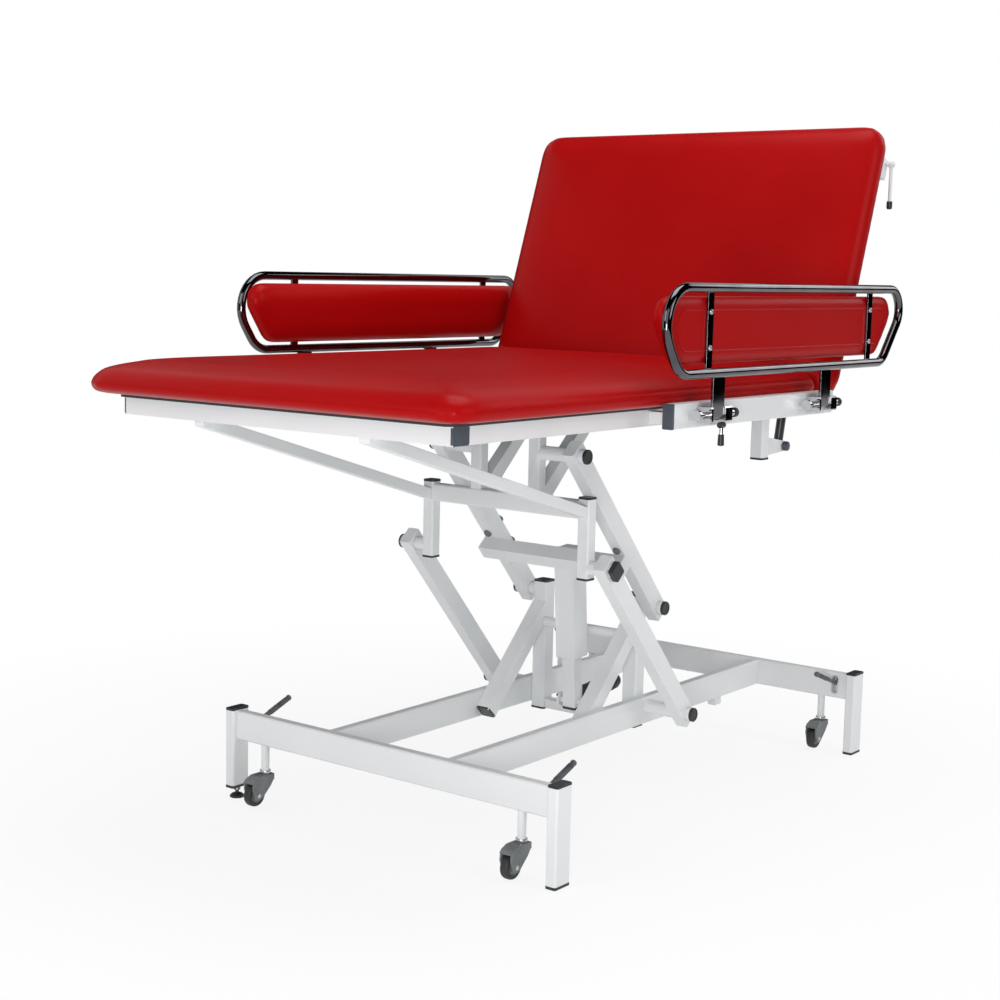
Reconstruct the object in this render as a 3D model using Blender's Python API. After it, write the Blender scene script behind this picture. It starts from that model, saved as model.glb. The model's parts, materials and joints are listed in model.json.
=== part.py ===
"""Electric bobath table: parametric CAD source, metres, +Z up, head end at +X."""
import bpy
import bmesh
from math import cos, sin, pi, radians, atan2, tan, acos
from mathutils import Vector, Matrix
from mathutils.geometry import tessellate_polygon

for old in list(bpy.data.objects):
    bpy.data.objects.remove(old, do_unlink=True)

# Driving dimensions
GAP = 0.0003
BASE_HALF_L = 0.668
BASE_HALF_W = 0.459
LEG_X = 0.050
LEG_Y = 0.025
LEG_TOP = 0.2055
PLUG = 0.0038
RAIL_W = 0.025
RAIL_Z0 = 0.138
RAIL_Z1 = 0.203
LONG_RAIL_Y = 0.1655
SHORT_LEG_Z = 0.0255
BASE_POST = 0.038
MID_POST = 0.030
ARM_LENGTH = 0.510
ARM_ANGLE = radians(48.3)
ARM_H = 0.045
ARM_T = 0.030
PIVOT_R = 0.016
BORE_GAP = 0.0004
LOWER_PIVOT = (0.096, 0.179)
UPPER_PIVOT = (0.096, 0.420)
LOWER_ARM_Y = 0.273
UPPER_ARM_Y = 0.185
PIVOT_OVER = 0.016
LIFT_TUBE = 0.036
DRIVE_TOP = (0.010, 0.533)
DRIVE_FOOT = (0.038, 0.171)
SLEEVE = 0.054
SLEEVE_WALL = 0.004
SLEEVE_LENGTH = 0.250
PAD_HALF_W = 0.4965
PAD_LIFT = 0.0008
SEAT_X0 = -1.043
SEAT_X1 = 0.3005
FRAME_X0 = -0.978
FRAME_X1 = 0.320
FRAME_HALF_W = PAD_HALF_W - 0.0655
FRAME_Z0 = 0.889
FRAME_Z1 = 0.9245
BOARD_T = 0.0057
BOARD_HALF_W = PAD_HALF_W - 0.0515
BACK_LENGTH = 0.674
BACK_ANGLE = radians(70.7)
HINGE = (0.390, 0.915)
GAS_RADIUS = 0.122
GAS_FOOT_ANGLE = radians(-86.0)
GAS_LUG_ANGLE = radians(-9.0)
GAS_Y = -0.330
RAIL_Y = PAD_HALF_W + 0.016
RAIL_X0 = -0.397
RAIL_X1 = 0.285
FOLD_Y = PAD_HALF_W + 0.0485
FOLD_Z = 0.918
LOOP_Y = FOLD_Y + 0.011
LOOP_TUBE = 0.010
LOOP_TOP = 1.173
LOOP_BOTTOM = 1.003
CLAMP_X = (-0.280, 0.188)
STRAP_X = (-0.318, 0.400)
SLIDE = {"near": 0.0, "far": -0.042}
CASTOR_X = BASE_HALF_L - LEG_X / 2
CASTOR_Y = BASE_HALF_W - 0.102
PEDAL_Y = BASE_HALF_W - 0.061
WHEEL_R = 0.026
WHEEL_Z = 0.0305
CASTOR_TRAIL = 0.034
EDGE = 0.003

PAD_Z0 = FRAME_Z1 + BOARD_T + PAD_LIFT
LOWER_PIN_END = LOWER_ARM_Y + ARM_T / 2 + PIVOT_OVER
UPPER_PIN_END = UPPER_ARM_Y + ARM_T / 2 + PIVOT_OVER + 0.001
ARM_U = (-cos(ARM_ANGLE), sin(ARM_ANGLE))
ARM_N = (-sin(ARM_ANGLE), -cos(ARM_ANGLE))
LOWER_TOP = (LOWER_PIVOT[0] + ARM_LENGTH * ARM_U[0], LOWER_PIVOT[1] + ARM_LENGTH * ARM_U[1])
UPPER_TOP = (UPPER_PIVOT[0] + ARM_LENGTH * ARM_U[0], UPPER_PIVOT[1] + ARM_LENGTH * ARM_U[1])

SIDES = (("near", -1), ("far", 1))

# Every piece hangs on one empty, which puts the origin under the middle of the whole table
ROOT = bpy.data.objects.new("table", None)
ROOT.location = (-(SEAT_X0 + BASE_HALF_L) / 2, 0.0, 0.0)
bpy.context.scene.collection.objects.link(ROOT)

COLOURS = {
    "white_paint": (0.80, 0.82, 0.83, 1.0, 0.0, 0.35),
    "black_plastic": (0.015, 0.016, 0.018, 1.0, 0.0, 0.45),
    "slate_plastic": (0.045, 0.060, 0.080, 1.0, 0.0, 0.45),
    "red_vinyl": (0.36, 0.006, 0.008, 1.0, 0.0, 0.35),
    "chrome": (0.62, 0.62, 0.63, 1.0, 1.0, 0.10),
    "grey_plastic": (0.20, 0.22, 0.23, 1.0, 0.0, 0.50),
    "tyre": (0.02, 0.02, 0.022, 1.0, 0.0, 0.60),
    "board": (0.03, 0.03, 0.03, 1.0, 0.0, 0.70),
    "steel": (0.50, 0.50, 0.50, 1.0, 1.0, 0.30),
}


def material(key):
    """One Principled material per call, so every node has its own."""
    r, g, b, a, metal, rough = COLOURS[key]
    mat = bpy.data.materials.new(key)
    mat.use_nodes = True
    bsdf = mat.node_tree.nodes["Principled BSDF"]
    bsdf.inputs["Base Color"].default_value = (r, g, b, a)
    bsdf.inputs["Metallic"].default_value = metal
    bsdf.inputs["Roughness"].default_value = rough
    mat.diffuse_color = (r, g, b, a)
    return mat


def place(name, bm, key, origin):
    """Turn a mesh into a named object whose origin is on its joint."""
    bmesh.ops.recalc_face_normals(bm, faces=bm.faces)
    bmesh.ops.translate(bm, vec=-Vector(origin), verts=bm.verts)
    mesh = bpy.data.meshes.new(name)
    bm.to_mesh(mesh)
    bm.free()
    mesh.shade_smooth()
    mesh.set_sharp_from_angle(angle=radians(35))
    mesh.materials.append(material(key))
    ob = bpy.data.objects.new(name, mesh)
    ob.location = origin
    ob.parent = ROOT
    bpy.context.scene.collection.objects.link(ob)
    return ob


def node(name, bm, key, origin=(0.0, 0.0, 0.0), weld=None, cut=None):
    """One piece: a main solid, others welded to it, and bores cut through all of them."""
    ob = place(name, bm, key, origin)
    for other, operation in ((weld, "UNION"), (cut, "DIFFERENCE")):
        if other is None:
            continue
        tool = place(name + "_" + operation.lower(), other, key, origin)
        tool.hide_render = True
        tool.display_type = "WIRE"
        mod = ob.modifiers.new(operation.lower(), "BOOLEAN")
        mod.operation = operation
        mod.solver = "EXACT"
        mod.use_self = operation == "UNION"
        mod.object = tool
    return ob


def axes(plane):
    """Map (u, v, w) to x, y, z for an outline in a plane, extruded along w."""
    if plane == "XZ":
        return lambda u, v, w: (u, w, v)
    if plane == "YZ":
        return lambda u, v, w: (w, u, v)
    return lambda u, v, w: (u, v, w)


def plate(bm, outer, lo, hi, plane="XZ", holes=()):
    """Extrude an outline with holes between two levels."""
    put = axes(plane)
    loops = [list(outer)] + [list(h) for h in holes]
    tris = tessellate_polygon([[Vector((u, v, 0.0)) for u, v in lp] for lp in loops])
    low = []
    high = []
    for lp in loops:
        low.append([bm.verts.new(put(u, v, lo)) for u, v in lp])
        high.append([bm.verts.new(put(u, v, hi)) for u, v in lp])
    flat_low = [v for lp in low for v in lp]
    flat_high = [v for lp in high for v in lp]
    for a, b, c in tris:
        bm.faces.new((flat_low[a], flat_low[b], flat_low[c]))
        bm.faces.new((flat_high[c], flat_high[b], flat_high[a]))
    for lo_lp, hi_lp in zip(low, high):
        n = len(lo_lp)
        for i in range(n):
            j = (i + 1) % n
            bm.faces.new((lo_lp[i], lo_lp[j], hi_lp[j], hi_lp[i]))


def circle(u, v, r, n=20):
    """Points on a circle."""
    return [(u + r * cos(2 * pi * i / n), v + r * sin(2 * pi * i / n)) for i in range(n)]


def box(bm, x0, x1, y0, y1, z0, z1, bevel=0.0, along="Z"):
    """Box whose four edges along one axis can be chamfered like a drawn tube."""
    if along == "X":
        a0, a1, b0, b1, lo, hi, plane = y0, y1, z0, z1, x0, x1, "YZ"
    elif along == "Y":
        a0, a1, b0, b1, lo, hi, plane = x0, x1, z0, z1, y0, y1, "XZ"
    else:
        a0, a1, b0, b1, lo, hi, plane = x0, x1, y0, y1, z0, z1, "XY"
    c = bevel
    if c > 0:
        pts = [(a0 + c, b0), (a1 - c, b0), (a1, b0 + c), (a1, b1 - c)]
        pts += [(a1 - c, b1), (a0 + c, b1), (a0, b1 - c), (a0, b0 + c)]
    else:
        pts = [(a0, b0), (a1, b0), (a1, b1), (a0, b1)]
    plate(bm, pts, lo, hi, plane)


def span(side, a, b):
    """Ordered pair of y values at distances a and b from the middle plane."""
    return (side * a, side * b) if side > 0 else (side * b, side * a)


def cyl(bm, p0, p1, r, n=16):
    """Closed cylinder between two points."""
    lathe(bm, p0, p1, [(0.0, 0.0), (r, 0.0), (r, 1.0), (0.0, 1.0)], n)


def lathe(bm, p0, p1, profile, n=16, ring=False):
    """Turn (radius, share of length) round the line p0 to p1; ring closes on itself."""
    p0 = Vector(p0)
    p1 = Vector(p1)
    d = (p1 - p0).normalized()
    e1 = d.orthogonal().normalized()
    e2 = d.cross(e1)
    rows = []
    for r, h in profile:
        c = p0.lerp(p1, h)
        if r == 0.0:
            rows.append([bm.verts.new(c)])
        else:
            rows.append([bm.verts.new(c + r * (cos(2 * pi * i / n) * e1 + sin(2 * pi * i / n) * e2))
                         for i in range(n)])
    pairs = list(zip(rows, rows[1:]))
    if ring:
        pairs.append((rows[-1], rows[0]))
    for a, b in pairs:
        for i in range(n):
            j = (i + 1) % n
            if len(a) == 1 and len(b) == 1:
                continue
            if len(a) == 1:
                bm.faces.new((a[0], b[j], b[i]))
            elif len(b) == 1:
                bm.faces.new((a[i], a[j], b[0]))
            else:
                bm.faces.new((a[i], a[j], b[j], b[i]))


def stub(bm, centre, side, y_from, y_to, r, n=20):
    """Round tube across the table at a point in X and Z, on one side."""
    cyl(bm, (centre[0], side * y_from, centre[1]), (centre[0], side * y_to, centre[1]), r, n)


def ear(root, tip, r):
    """Outline of a lug: straight root edge, round end about the tip."""
    (u0, v0), (u1, v1) = root
    pts = [(u0, v0)]
    s0 = atan2(v0 - tip[1], u0 - tip[0]) + 0.5 * pi
    s1 = atan2(v1 - tip[1], u1 - tip[0]) - 0.5 * pi
    while s1 < s0:
        s1 += 2 * pi
    for k in range(11):
        s = s0 + (s1 - s0) * k / 10
        pts.append((tip[0] + r * cos(s), tip[1] + r * sin(s)))
    pts.append((u1, v1))
    return pts


def inset_corners(corners, inset):
    """Corners of a convex polygon moved inwards by one distance."""
    n = len(corners)
    moved = []
    for i in range(n):
        p = Vector(corners[i])
        a = (p - Vector(corners[i - 1])).normalized()
        b = (Vector(corners[(i + 1) % n]) - p).normalized()
        na = Vector((-a.y, a.x))
        nb = Vector((-b.y, b.x))
        k = inset / (1.0 + na.dot(nb))
        moved.append(p + k * (na + nb))
    return moved


def outline(corners, inset, radius, seg):
    """Convex polygon moved inwards, with rounded corners and a fixed point count."""
    n = len(corners)
    moved = inset_corners(corners, inset)
    pts = []
    for i in range(n):
        p = moved[i]
        a = (moved[i - 1] - p).normalized()
        b = (moved[(i + 1) % n] - p).normalized()
        half = 0.5 * acos(max(-1.0, min(1.0, a.dot(b))))
        r = max(radius - inset, 0.004)
        centre = p + (a + b).normalized() * (r / sin(half))
        t0 = p + a * (r / tan(half))
        t1 = p + b * (r / tan(half))
        s0 = atan2(t0.y - centre.y, t0.x - centre.x)
        s1 = atan2(t1.y - centre.y, t1.x - centre.x)
        turn = (s1 - s0 + pi) % (2 * pi) - pi
        for k in range(seg + 1):
            s = s0 + turn * k / seg
            pts.append((centre.x + r * cos(s), centre.y + r * sin(s)))
    return pts


def cushion(bm, corners, radius, rings, seg, put):
    """Upholstered solid: rows of rounded outlines from the back face to the crown."""
    rows = []
    for inset, level in rings:
        rows.append([bm.verts.new(put(u, v, level)) for u, v in outline(corners, inset, radius, seg)])
    n = len(rows[0])
    for a, b in zip(rows, rows[1:]):
        for i in range(n):
            j = (i + 1) % n
            bm.faces.new((a[i], a[j], b[j], b[i]))
    bm.faces.new(list(reversed(rows[0])))
    bm.faces.new(rows[-1])


def swing(angle, pivot):
    """Turn about the Y axis through a point in X and Z, head end up."""
    move = Matrix.Translation((pivot[0], 0.0, pivot[1]))
    return move @ Matrix.Rotation(-angle, 4, "Y") @ move.inverted()


# Base: end frames of a cross rail and two legs, bored for the castors and their pedals
SLOT_HALF = 0.0068
SLOT_Z0 = 0.150
SLOT_Z1 = 0.194
SLOT_DEPTH = 0.0185
STEM_BORE = 0.0094
STEM_ROOF = 0.004
LEG_IN = BASE_HALF_W - LEG_Y
LEG_LAP = 0.008
FOOT_BORE = 0.0046
FOOT_BORE_TOP = 0.075
CLEAR = 0.010


def end_frame(name, sx):
    """Cross rail welded between two legs; the far front leg is short and stands on a foot."""
    xc = sx * CASTOR_X
    rail = bmesh.new()
    lap = LEG_IN + LEG_LAP
    box(rail, xc - RAIL_W / 2, xc + RAIL_W / 2, -lap, lap, RAIL_Z0, RAIL_Z1, EDGE, "Y")
    legs = bmesh.new()
    cut = bmesh.new()
    for sy in (-1, 1):
        short = sx < 0 < sy
        foot = SHORT_LEG_Z if short else 0.0
        y0, y1 = span(sy, LEG_IN, BASE_HALF_W)
        box(legs, xc - LEG_X / 2, xc + LEG_X / 2, y0, y1, foot, LEG_TOP + PLUG, EDGE)
        if short:
            leg_y = sy * (LEG_IN + LEG_Y / 2)
            cyl(cut, (xc, leg_y, 0.0), (xc, leg_y, FOOT_BORE_TOP), FOOT_BORE, 16)
        cy = sy * CASTOR_Y
        cyl(cut, (xc, cy, RAIL_Z0 - CLEAR), (xc, cy, RAIL_Z1 - STEM_ROOF), STEM_BORE, 20)
        yc = sy * PEDAL_Y
        high = SLOT_Z1 - SLOT_HALF
        low = SLOT_Z0 + SLOT_HALF
        pts = [(yc + SLOT_HALF * cos(pi * k / 8), high + SLOT_HALF * sin(pi * k / 8)) for k in range(9)]
        pts += [(yc - SLOT_HALF * cos(pi * k / 8), low - SLOT_HALF * sin(pi * k / 8)) for k in range(9)]
        inner = xc - sx * RAIL_W / 2
        xs = sorted((inner - sx * CLEAR, inner + sx * SLOT_DEPTH))
        plate(cut, pts, xs[0], xs[1], "YZ")
    node(name, rail, "white_paint", weld=legs, cut=cut)


end_frame("front_end_frame", -1)
end_frame("rear_end_frame", 1)

# Long rails, each with the pivot tube of a lower arm
RAIL_IN = LONG_RAIL_Y - RAIL_W / 2
RAIL_OUT = LONG_RAIL_Y + RAIL_W / 2
RAIL_END = CASTOR_X - RAIL_W / 2 - GAP
LAP = 0.006
CLEAT_X = (0.415, 0.445)
CLEAT_Z = 0.120
CLEAT_IN = 0.002
for tag, sy in SIDES:
    bm = bmesh.new()
    y0, y1 = span(sy, RAIL_IN, RAIL_OUT)
    box(bm, -RAIL_END, RAIL_END, y0, y1, RAIL_Z0, RAIL_Z1 - 0.001, EDGE, "X")
    weld = bmesh.new()
    stub(weld, LOWER_PIVOT, sy, RAIL_OUT - LAP, LOWER_PIN_END, PIVOT_R)
    if sy < 0:
        box(weld, CLEAT_X[0], CLEAT_X[1], y0 + CLEAT_IN, y1 - CLEAT_IN, CLEAT_Z, RAIL_Z0 + LAP)
    node("long_rail_" + tag, bm, "white_paint", weld=weld)

# Base posts with slanted braces, upper pivot tubes and the stay tube between them
POST_Y0 = RAIL_IN - GAP - BASE_POST
POST_Y1 = RAIL_IN - GAP
POST_X0 = UPPER_PIVOT[0] - BASE_POST / 2
POST_X1 = UPPER_PIVOT[0] + BASE_POST / 2
POST_Z0 = 0.124
POST_Z1 = UPPER_PIVOT[1] + 0.026
STAY = (0.0755, 0.3455)
STAY_R = 0.012
STAY_END = POST_Y1 + 0.0155
BRACE_LOW = Vector((-0.1325, 0.1525))
BRACE_HIGH = Vector((POST_X0 + 0.010, 0.380))
BRACE_SLIM = 0.0008
SKIN = 0.0005
run = (BRACE_HIGH - BRACE_LOW).normalized()
norm = Vector((-run.y, run.x)) * (BASE_POST / 2 - BRACE_SLIM)
slope = run.y / run.x
foot_a = BRACE_LOW + norm
foot_b = BRACE_LOW - norm
brace = [tuple(foot_b), (BRACE_HIGH.x, foot_b.y + slope * (BRACE_HIGH.x - foot_b.x))]
brace += [(BRACE_HIGH.x, foot_a.y + slope * (BRACE_HIGH.x - foot_a.x)), tuple(foot_a)]
for tag, sy in SIDES:
    bm = bmesh.new()
    y0, y1 = span(sy, POST_Y0, POST_Y1)
    box(bm, POST_X0, POST_X1, y0, y1, POST_Z0, POST_Z1, EDGE)
    weld = bmesh.new()
    plate(weld, brace, y0 + SKIN, y1 - SKIN)
    stub(weld, UPPER_PIVOT, sy, POST_Y1 - LAP, UPPER_PIN_END, PIVOT_R)
    if sy < 0:
        cyl(weld, (STAY[0], -STAY_END, STAY[1]), (STAY[0], POST_Y0 - GAP, STAY[1]), STAY_R, 16)
    else:
        stub(weld, STAY, sy, POST_Y1 - LAP, STAY_END, STAY_R, 16)
    node("base_post_" + tag, bm, "white_paint", weld=weld)

# Cross member low between the base posts, with two ears reaching forward to the drive
MEMBER_X0 = 0.082
MEMBER_X1 = 0.110
MEMBER_Z0 = 0.126
MEMBER_Z1 = 0.150
EAR_Y0 = 0.031
EAR_Y1 = 0.037
EAR_R = 0.015
PIN_R = 0.008
PIN_BORE = PIN_R + BORE_GAP
bm = bmesh.new()
box(bm, MEMBER_X0, MEMBER_X1, GAP - POST_Y0, POST_Y0 - GAP, MEMBER_Z0, MEMBER_Z1, EDGE, "Y")
weld = bmesh.new()
lug = ear([(MEMBER_X0 + LAP, MEMBER_Z1 - EDGE), (MEMBER_X0 + LAP, MEMBER_Z0 + EDGE)], DRIVE_FOOT, EAR_R)
for sy in (-1, 1):
    y0, y1 = span(sy, EAR_Y0, EAR_Y1)
    plate(weld, lug, y0, y1, "XZ", [circle(DRIVE_FOOT[0], DRIVE_FOOT[1], PIN_BORE)])
node("drive_cross_member", bm, "white_paint", weld=weld)

# Levelling foot under the short far front leg
foot_x = -CASTOR_X
foot_y = LEG_IN + LEG_Y / 2
bm = bmesh.new()
prof = [(0.0, 0.0), (0.0165, 0.0), (0.0165, 0.004), (0.011, 0.0085), (0.0042, 0.0095), (0.0042, 0.0175)]
prof += [(0.008, 0.0175), (0.008, 0.0235), (0.0042, 0.0235), (0.0042, 0.060), (0.0, 0.060)]
lathe(bm, (foot_x, foot_y, 0.0), (foot_x, foot_y, 1.0), prof)
node("levelling_foot", bm, "black_plastic", (foot_x, foot_y, SHORT_LEG_Z))

# Castors: pedal, sliding stem, swivelling fork and wheel at each corner
PEDAL_Z = 0.172
PEDAL_SLOPE = radians(21.0)
PEDAL_LENGTH = 0.128
PEDAL_HALF = 0.0055
STEM_Z0 = 0.073
STEM_Z1 = 0.196
FORK_TOP = 0.0725
FORK_HALF = 0.0155
CHEEK_T = 0.004
CORNERS = (("front_near", -1, -1), ("front_far", -1, 1), ("rear_near", 1, -1), ("rear_far", 1, 1))
for tag, sx, sy in CORNERS:
    cx = sx * CASTOR_X
    cy = sy * CASTOR_Y
    wx = cx - CASTOR_TRAIL
    bm = bmesh.new()
    pts = [(0.0, -0.0035), (PEDAL_LENGTH - 0.010, -0.0035), (PEDAL_LENGTH - 0.003, -0.0015)]
    pts += [(PEDAL_LENGTH, 0.0), (PEDAL_LENGTH - 0.003, 0.003), (PEDAL_LENGTH - 0.010, 0.0045)]
    pts += [(0.0, 0.0045)]
    pts = [(cx - sx * (u * cos(PEDAL_SLOPE) - v * sin(PEDAL_SLOPE)),
            PEDAL_Z + u * sin(PEDAL_SLOPE) + v * cos(PEDAL_SLOPE)) for u, v in pts]
    plate(bm, pts, sy * PEDAL_Y - PEDAL_HALF, sy * PEDAL_Y + PEDAL_HALF)
    node("castor_pedal_" + tag, bm, "slate_plastic", (cx, sy * PEDAL_Y, PEDAL_Z))
    bm = bmesh.new()
    prof = [(0.0, STEM_Z0), (0.0115, STEM_Z0), (0.0115, 0.080)]
    prof += [(0.009, 0.081), (0.009, STEM_Z1), (0.0, STEM_Z1)]
    lathe(bm, (cx, cy, 0.0), (cx, cy, 1.0), prof, 20)
    node("castor_stem_" + tag, bm, "white_paint", (cx, cy, STEM_Z0))
    bm = bmesh.new()
    hood = [(cx + 0.013, FORK_TOP), (cx - 0.030, FORK_TOP), (cx - 0.046, FORK_TOP - 0.0065)]
    hood += [(cx - 0.0525, FORK_TOP - 0.014), (cx + 0.013, FORK_TOP - 0.014)]
    plate(bm, hood, cy - FORK_HALF, cy + FORK_HALF)
    weld = bmesh.new()
    cheek = [(cx + 0.0125, FORK_TOP - 0.012), (cx - 0.050, FORK_TOP - 0.012), (cx - 0.052, 0.045)]
    cheek += [(cx - 0.044, 0.022), (wx, 0.0195), (cx - 0.024, 0.022), (cx + 0.002, 0.046)]
    plate(weld, cheek, cy - FORK_HALF + 0.0003, cy - FORK_HALF + CHEEK_T)
    plate(weld, cheek, cy + FORK_HALF - CHEEK_T, cy + FORK_HALF - 0.0003)
    cyl(weld, (wx, cy - FORK_HALF + 0.002, WHEEL_Z), (wx, cy + FORK_HALF - 0.002, WHEEL_Z), 0.004, 16)
    node("castor_fork_" + tag, bm, "grey_plastic", (cx, cy, FORK_TOP), weld=weld)
    bm = bmesh.new()
    prof = [(0.0045, -0.0095), (0.020, -0.0095), (0.0245, -0.0085), (WHEEL_R, -0.004), (WHEEL_R, 0.004)]
    prof += [(0.0245, 0.0085), (0.020, 0.0095), (0.0045, 0.0095)]
    lathe(bm, (wx, cy, WHEEL_Z), (wx, cy + 1.0, WHEEL_Z), prof, 20, True)
    node("castor_wheel_" + tag, bm, "tyre", (wx, cy, WHEEL_Z))

# Lift arms, bored at both ends for the pivot tubes
ARM_OVER = 0.024
for name, low, top, yc in (("lower_arm_", LOWER_PIVOT, LOWER_TOP, LOWER_ARM_Y),
                           ("upper_arm_", UPPER_PIVOT, UPPER_TOP, UPPER_ARM_Y)):
    pts = []
    tip = ARM_LENGTH + ARM_OVER
    for along, across in ((-ARM_OVER, 1), (tip, 1), (tip, -1), (-ARM_OVER, -1)):
        u = low[0] + along * ARM_U[0] + across * ARM_H / 2 * ARM_N[0]
        v = low[1] + along * ARM_U[1] + across * ARM_H / 2 * ARM_N[1]
        pts.append((u, v))
    bores = [circle(low[0], low[1], PIVOT_R + BORE_GAP), circle(top[0], top[1], PIVOT_R + BORE_GAP)]
    for tag, sy in SIDES:
        bm = bmesh.new()
        y0, y1 = span(sy, yc - ARM_T / 2, yc + ARM_T / 2)
        plate(bm, pts, y0, y1, "XZ", bores)
        node(name + tag, bm, "white_paint", (low[0], 0.0, low[1]))

# Square cross tube under the upper arms, with ears for the drive
TUBE_ALONG = 0.192
off = ARM_H / 2 + LIFT_TUBE / 2 + GAP
TUBE_C = (UPPER_PIVOT[0] + TUBE_ALONG * ARM_U[0] + off * ARM_N[0],
          UPPER_PIVOT[1] + TUBE_ALONG * ARM_U[1] + off * ARM_N[1])
half = LIFT_TUBE / 2
TUBE_END = UPPER_ARM_Y + ARM_T / 2 + 0.001
diamond = [(TUBE_C[0] + half * (i * ARM_U[0] + j * ARM_N[0]),
            TUBE_C[1] + half * (i * ARM_U[1] + j * ARM_N[1]))
           for i, j in ((1, 1), (1, -1), (-1, -1), (-1, 1))]
bm = bmesh.new()
plate(bm, diamond, -TUBE_END, TUBE_END)
weld = bmesh.new()
lug = ear([(TUBE_C[0], TUBE_C[1] - 0.016), (TUBE_C[0], TUBE_C[1] + 0.016)], DRIVE_TOP, EAR_R)
for sy in (-1, 1):
    y0, y1 = span(sy, EAR_Y0, EAR_Y1)
    plate(weld, lug, y0, y1, "XZ", [circle(DRIVE_TOP[0], DRIVE_TOP[1], PIN_BORE)])
node("lift_cross_tube", bm, "white_paint", (UPPER_PIVOT[0], 0.0, UPPER_PIVOT[1]), weld=weld)

# Lift drive: sleeve on the cross tube, inner tube and motor on the base
axis = Vector((DRIVE_FOOT[0] - DRIVE_TOP[0], 0.0, DRIVE_FOOT[1] - DRIVE_TOP[1])).normalized()
tilt = Matrix.Rotation(-atan2(axis.x, -axis.z), 4, "Y")
PIN_END = 0.041
INNER_HALF = 0.018
hs = SLEEVE / 2
hi = hs - SLEEVE_WALL
bm = bmesh.new()
bore = [(-hi, -hi), (hi, -hi), (hi, hi), (-hi, hi)]
plate(bm, [(-hs, -hs), (hs, -hs), (hs, hs), (-hs, hs)], -SLEEVE_LENGTH, 0.014, "XY", [bore])
weld = bmesh.new()
box(weld, -hs + 0.001, hs - 0.001, -hs + 0.001, hs - 0.001, 0.011, 0.018)
for sy in (-1, 1):
    stub(weld, (0.0, 0.0), sy, hs - 0.002, PIN_END, PIN_R)
turn = Matrix.Translation((DRIVE_TOP[0], 0.0, DRIVE_TOP[1])) @ tilt
bm.transform(turn)
weld.transform(turn)
node("drive_sleeve", bm, "white_paint", (DRIVE_TOP[0], 0.0, DRIVE_TOP[1]), weld=weld)
bm = bmesh.new()
box(bm, -INNER_HALF, INNER_HALF, -INNER_HALF, INNER_HALF, -0.016, 0.240, 0.002)
weld = bmesh.new()
cyl(weld, (0.0, -PIN_END, 0.0), (0.0, PIN_END, 0.0), PIN_R, 20)
turn = Matrix.Translation((DRIVE_FOOT[0], 0.0, DRIVE_FOOT[1])) @ tilt
bm.transform(turn)
weld.transform(turn)
node("drive_tube", bm, "white_paint", (DRIVE_FOOT[0], 0.0, DRIVE_FOOT[1]), weld=weld)
bm = bmesh.new()
box(bm, INNER_HALF + GAP, 0.052, -0.024, 0.024, -0.014, 0.028, 0.003)
weld = bmesh.new()
prof = [(0.0, 0.046), (0.0205, 0.046), (0.0205, 0.175), (0.017, 0.185), (0.0, 0.185)]
lathe(weld, (0.0, 0.0, 0.007), (1.0, 0.0, 0.007), prof, 20)
bm.transform(turn)
weld.transform(turn)
node("drive_motor", bm, "black_plastic", (DRIVE_FOOT[0], 0.0, DRIVE_FOOT[1]), weld=weld)

# Carriage: yoke of two posts and a cross bar, with the upper ends of the lower arms
CX = LOWER_TOP[0]
CAR_O = (LOWER_TOP[0], 0.0, LOWER_TOP[1])
MID_Y = 0.2185
MP0 = CX - MID_POST / 2
MP1 = CX + MID_POST / 2
FRAME_LOW = FRAME_Z0 - GAP
MID_Z0 = LOWER_TOP[1] - 0.028
MID_Z1 = LOWER_TOP[1] + 0.1545
BAR_Z1 = MID_Z1 - 0.0085
BAR_Z0 = BAR_Z1 - 0.040
bm = bmesh.new()
box(bm, MP0 + SKIN, MP1 - SKIN, -MID_Y, MID_Y, BAR_Z0, BAR_Z1, EDGE, "Y")
weld = bmesh.new()
for sy in (-1, 1):
    y0, y1 = span(sy, MID_Y - MID_POST / 2, MID_Y + MID_POST / 2)
    box(weld, MP0, MP1, y0, y1, MID_Z0, MID_Z1, EDGE)
    stub(weld, LOWER_TOP, sy, MID_Y + MID_POST / 2 - LAP, LOWER_PIN_END, PIVOT_R)
node("carriage_yoke", bm, "white_paint", CAR_O, weld=weld)

# Diagonal bars from the yoke up to the front of the seat frame
DIAG_T = 0.025
front = FRAME_X0 + 0.006
bar_x = MP0 - GAP
bar_low = BAR_Z1 - 0.0365
bar_high = bar_low + DIAG_T
rise = (FRAME_LOW - 0.0104 - bar_low - DIAG_T / 2) / (bar_x - FRAME_X0 - 0.048)
diag = [(bar_x, bar_low), (bar_x, bar_high), (bar_x - (FRAME_LOW - bar_high) / rise, FRAME_LOW)]
diag += [(front, FRAME_LOW), (front, bar_low + rise * (bar_x - front))]
for tag, sy in SIDES:
    bm = bmesh.new()
    y0, y1 = span(sy, MID_Y - DIAG_T / 2, MID_Y + DIAG_T / 2)
    plate(bm, diag, y0, y1)
    node("diagonal_bar_" + tag, bm, "white_paint", CAR_O)

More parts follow.
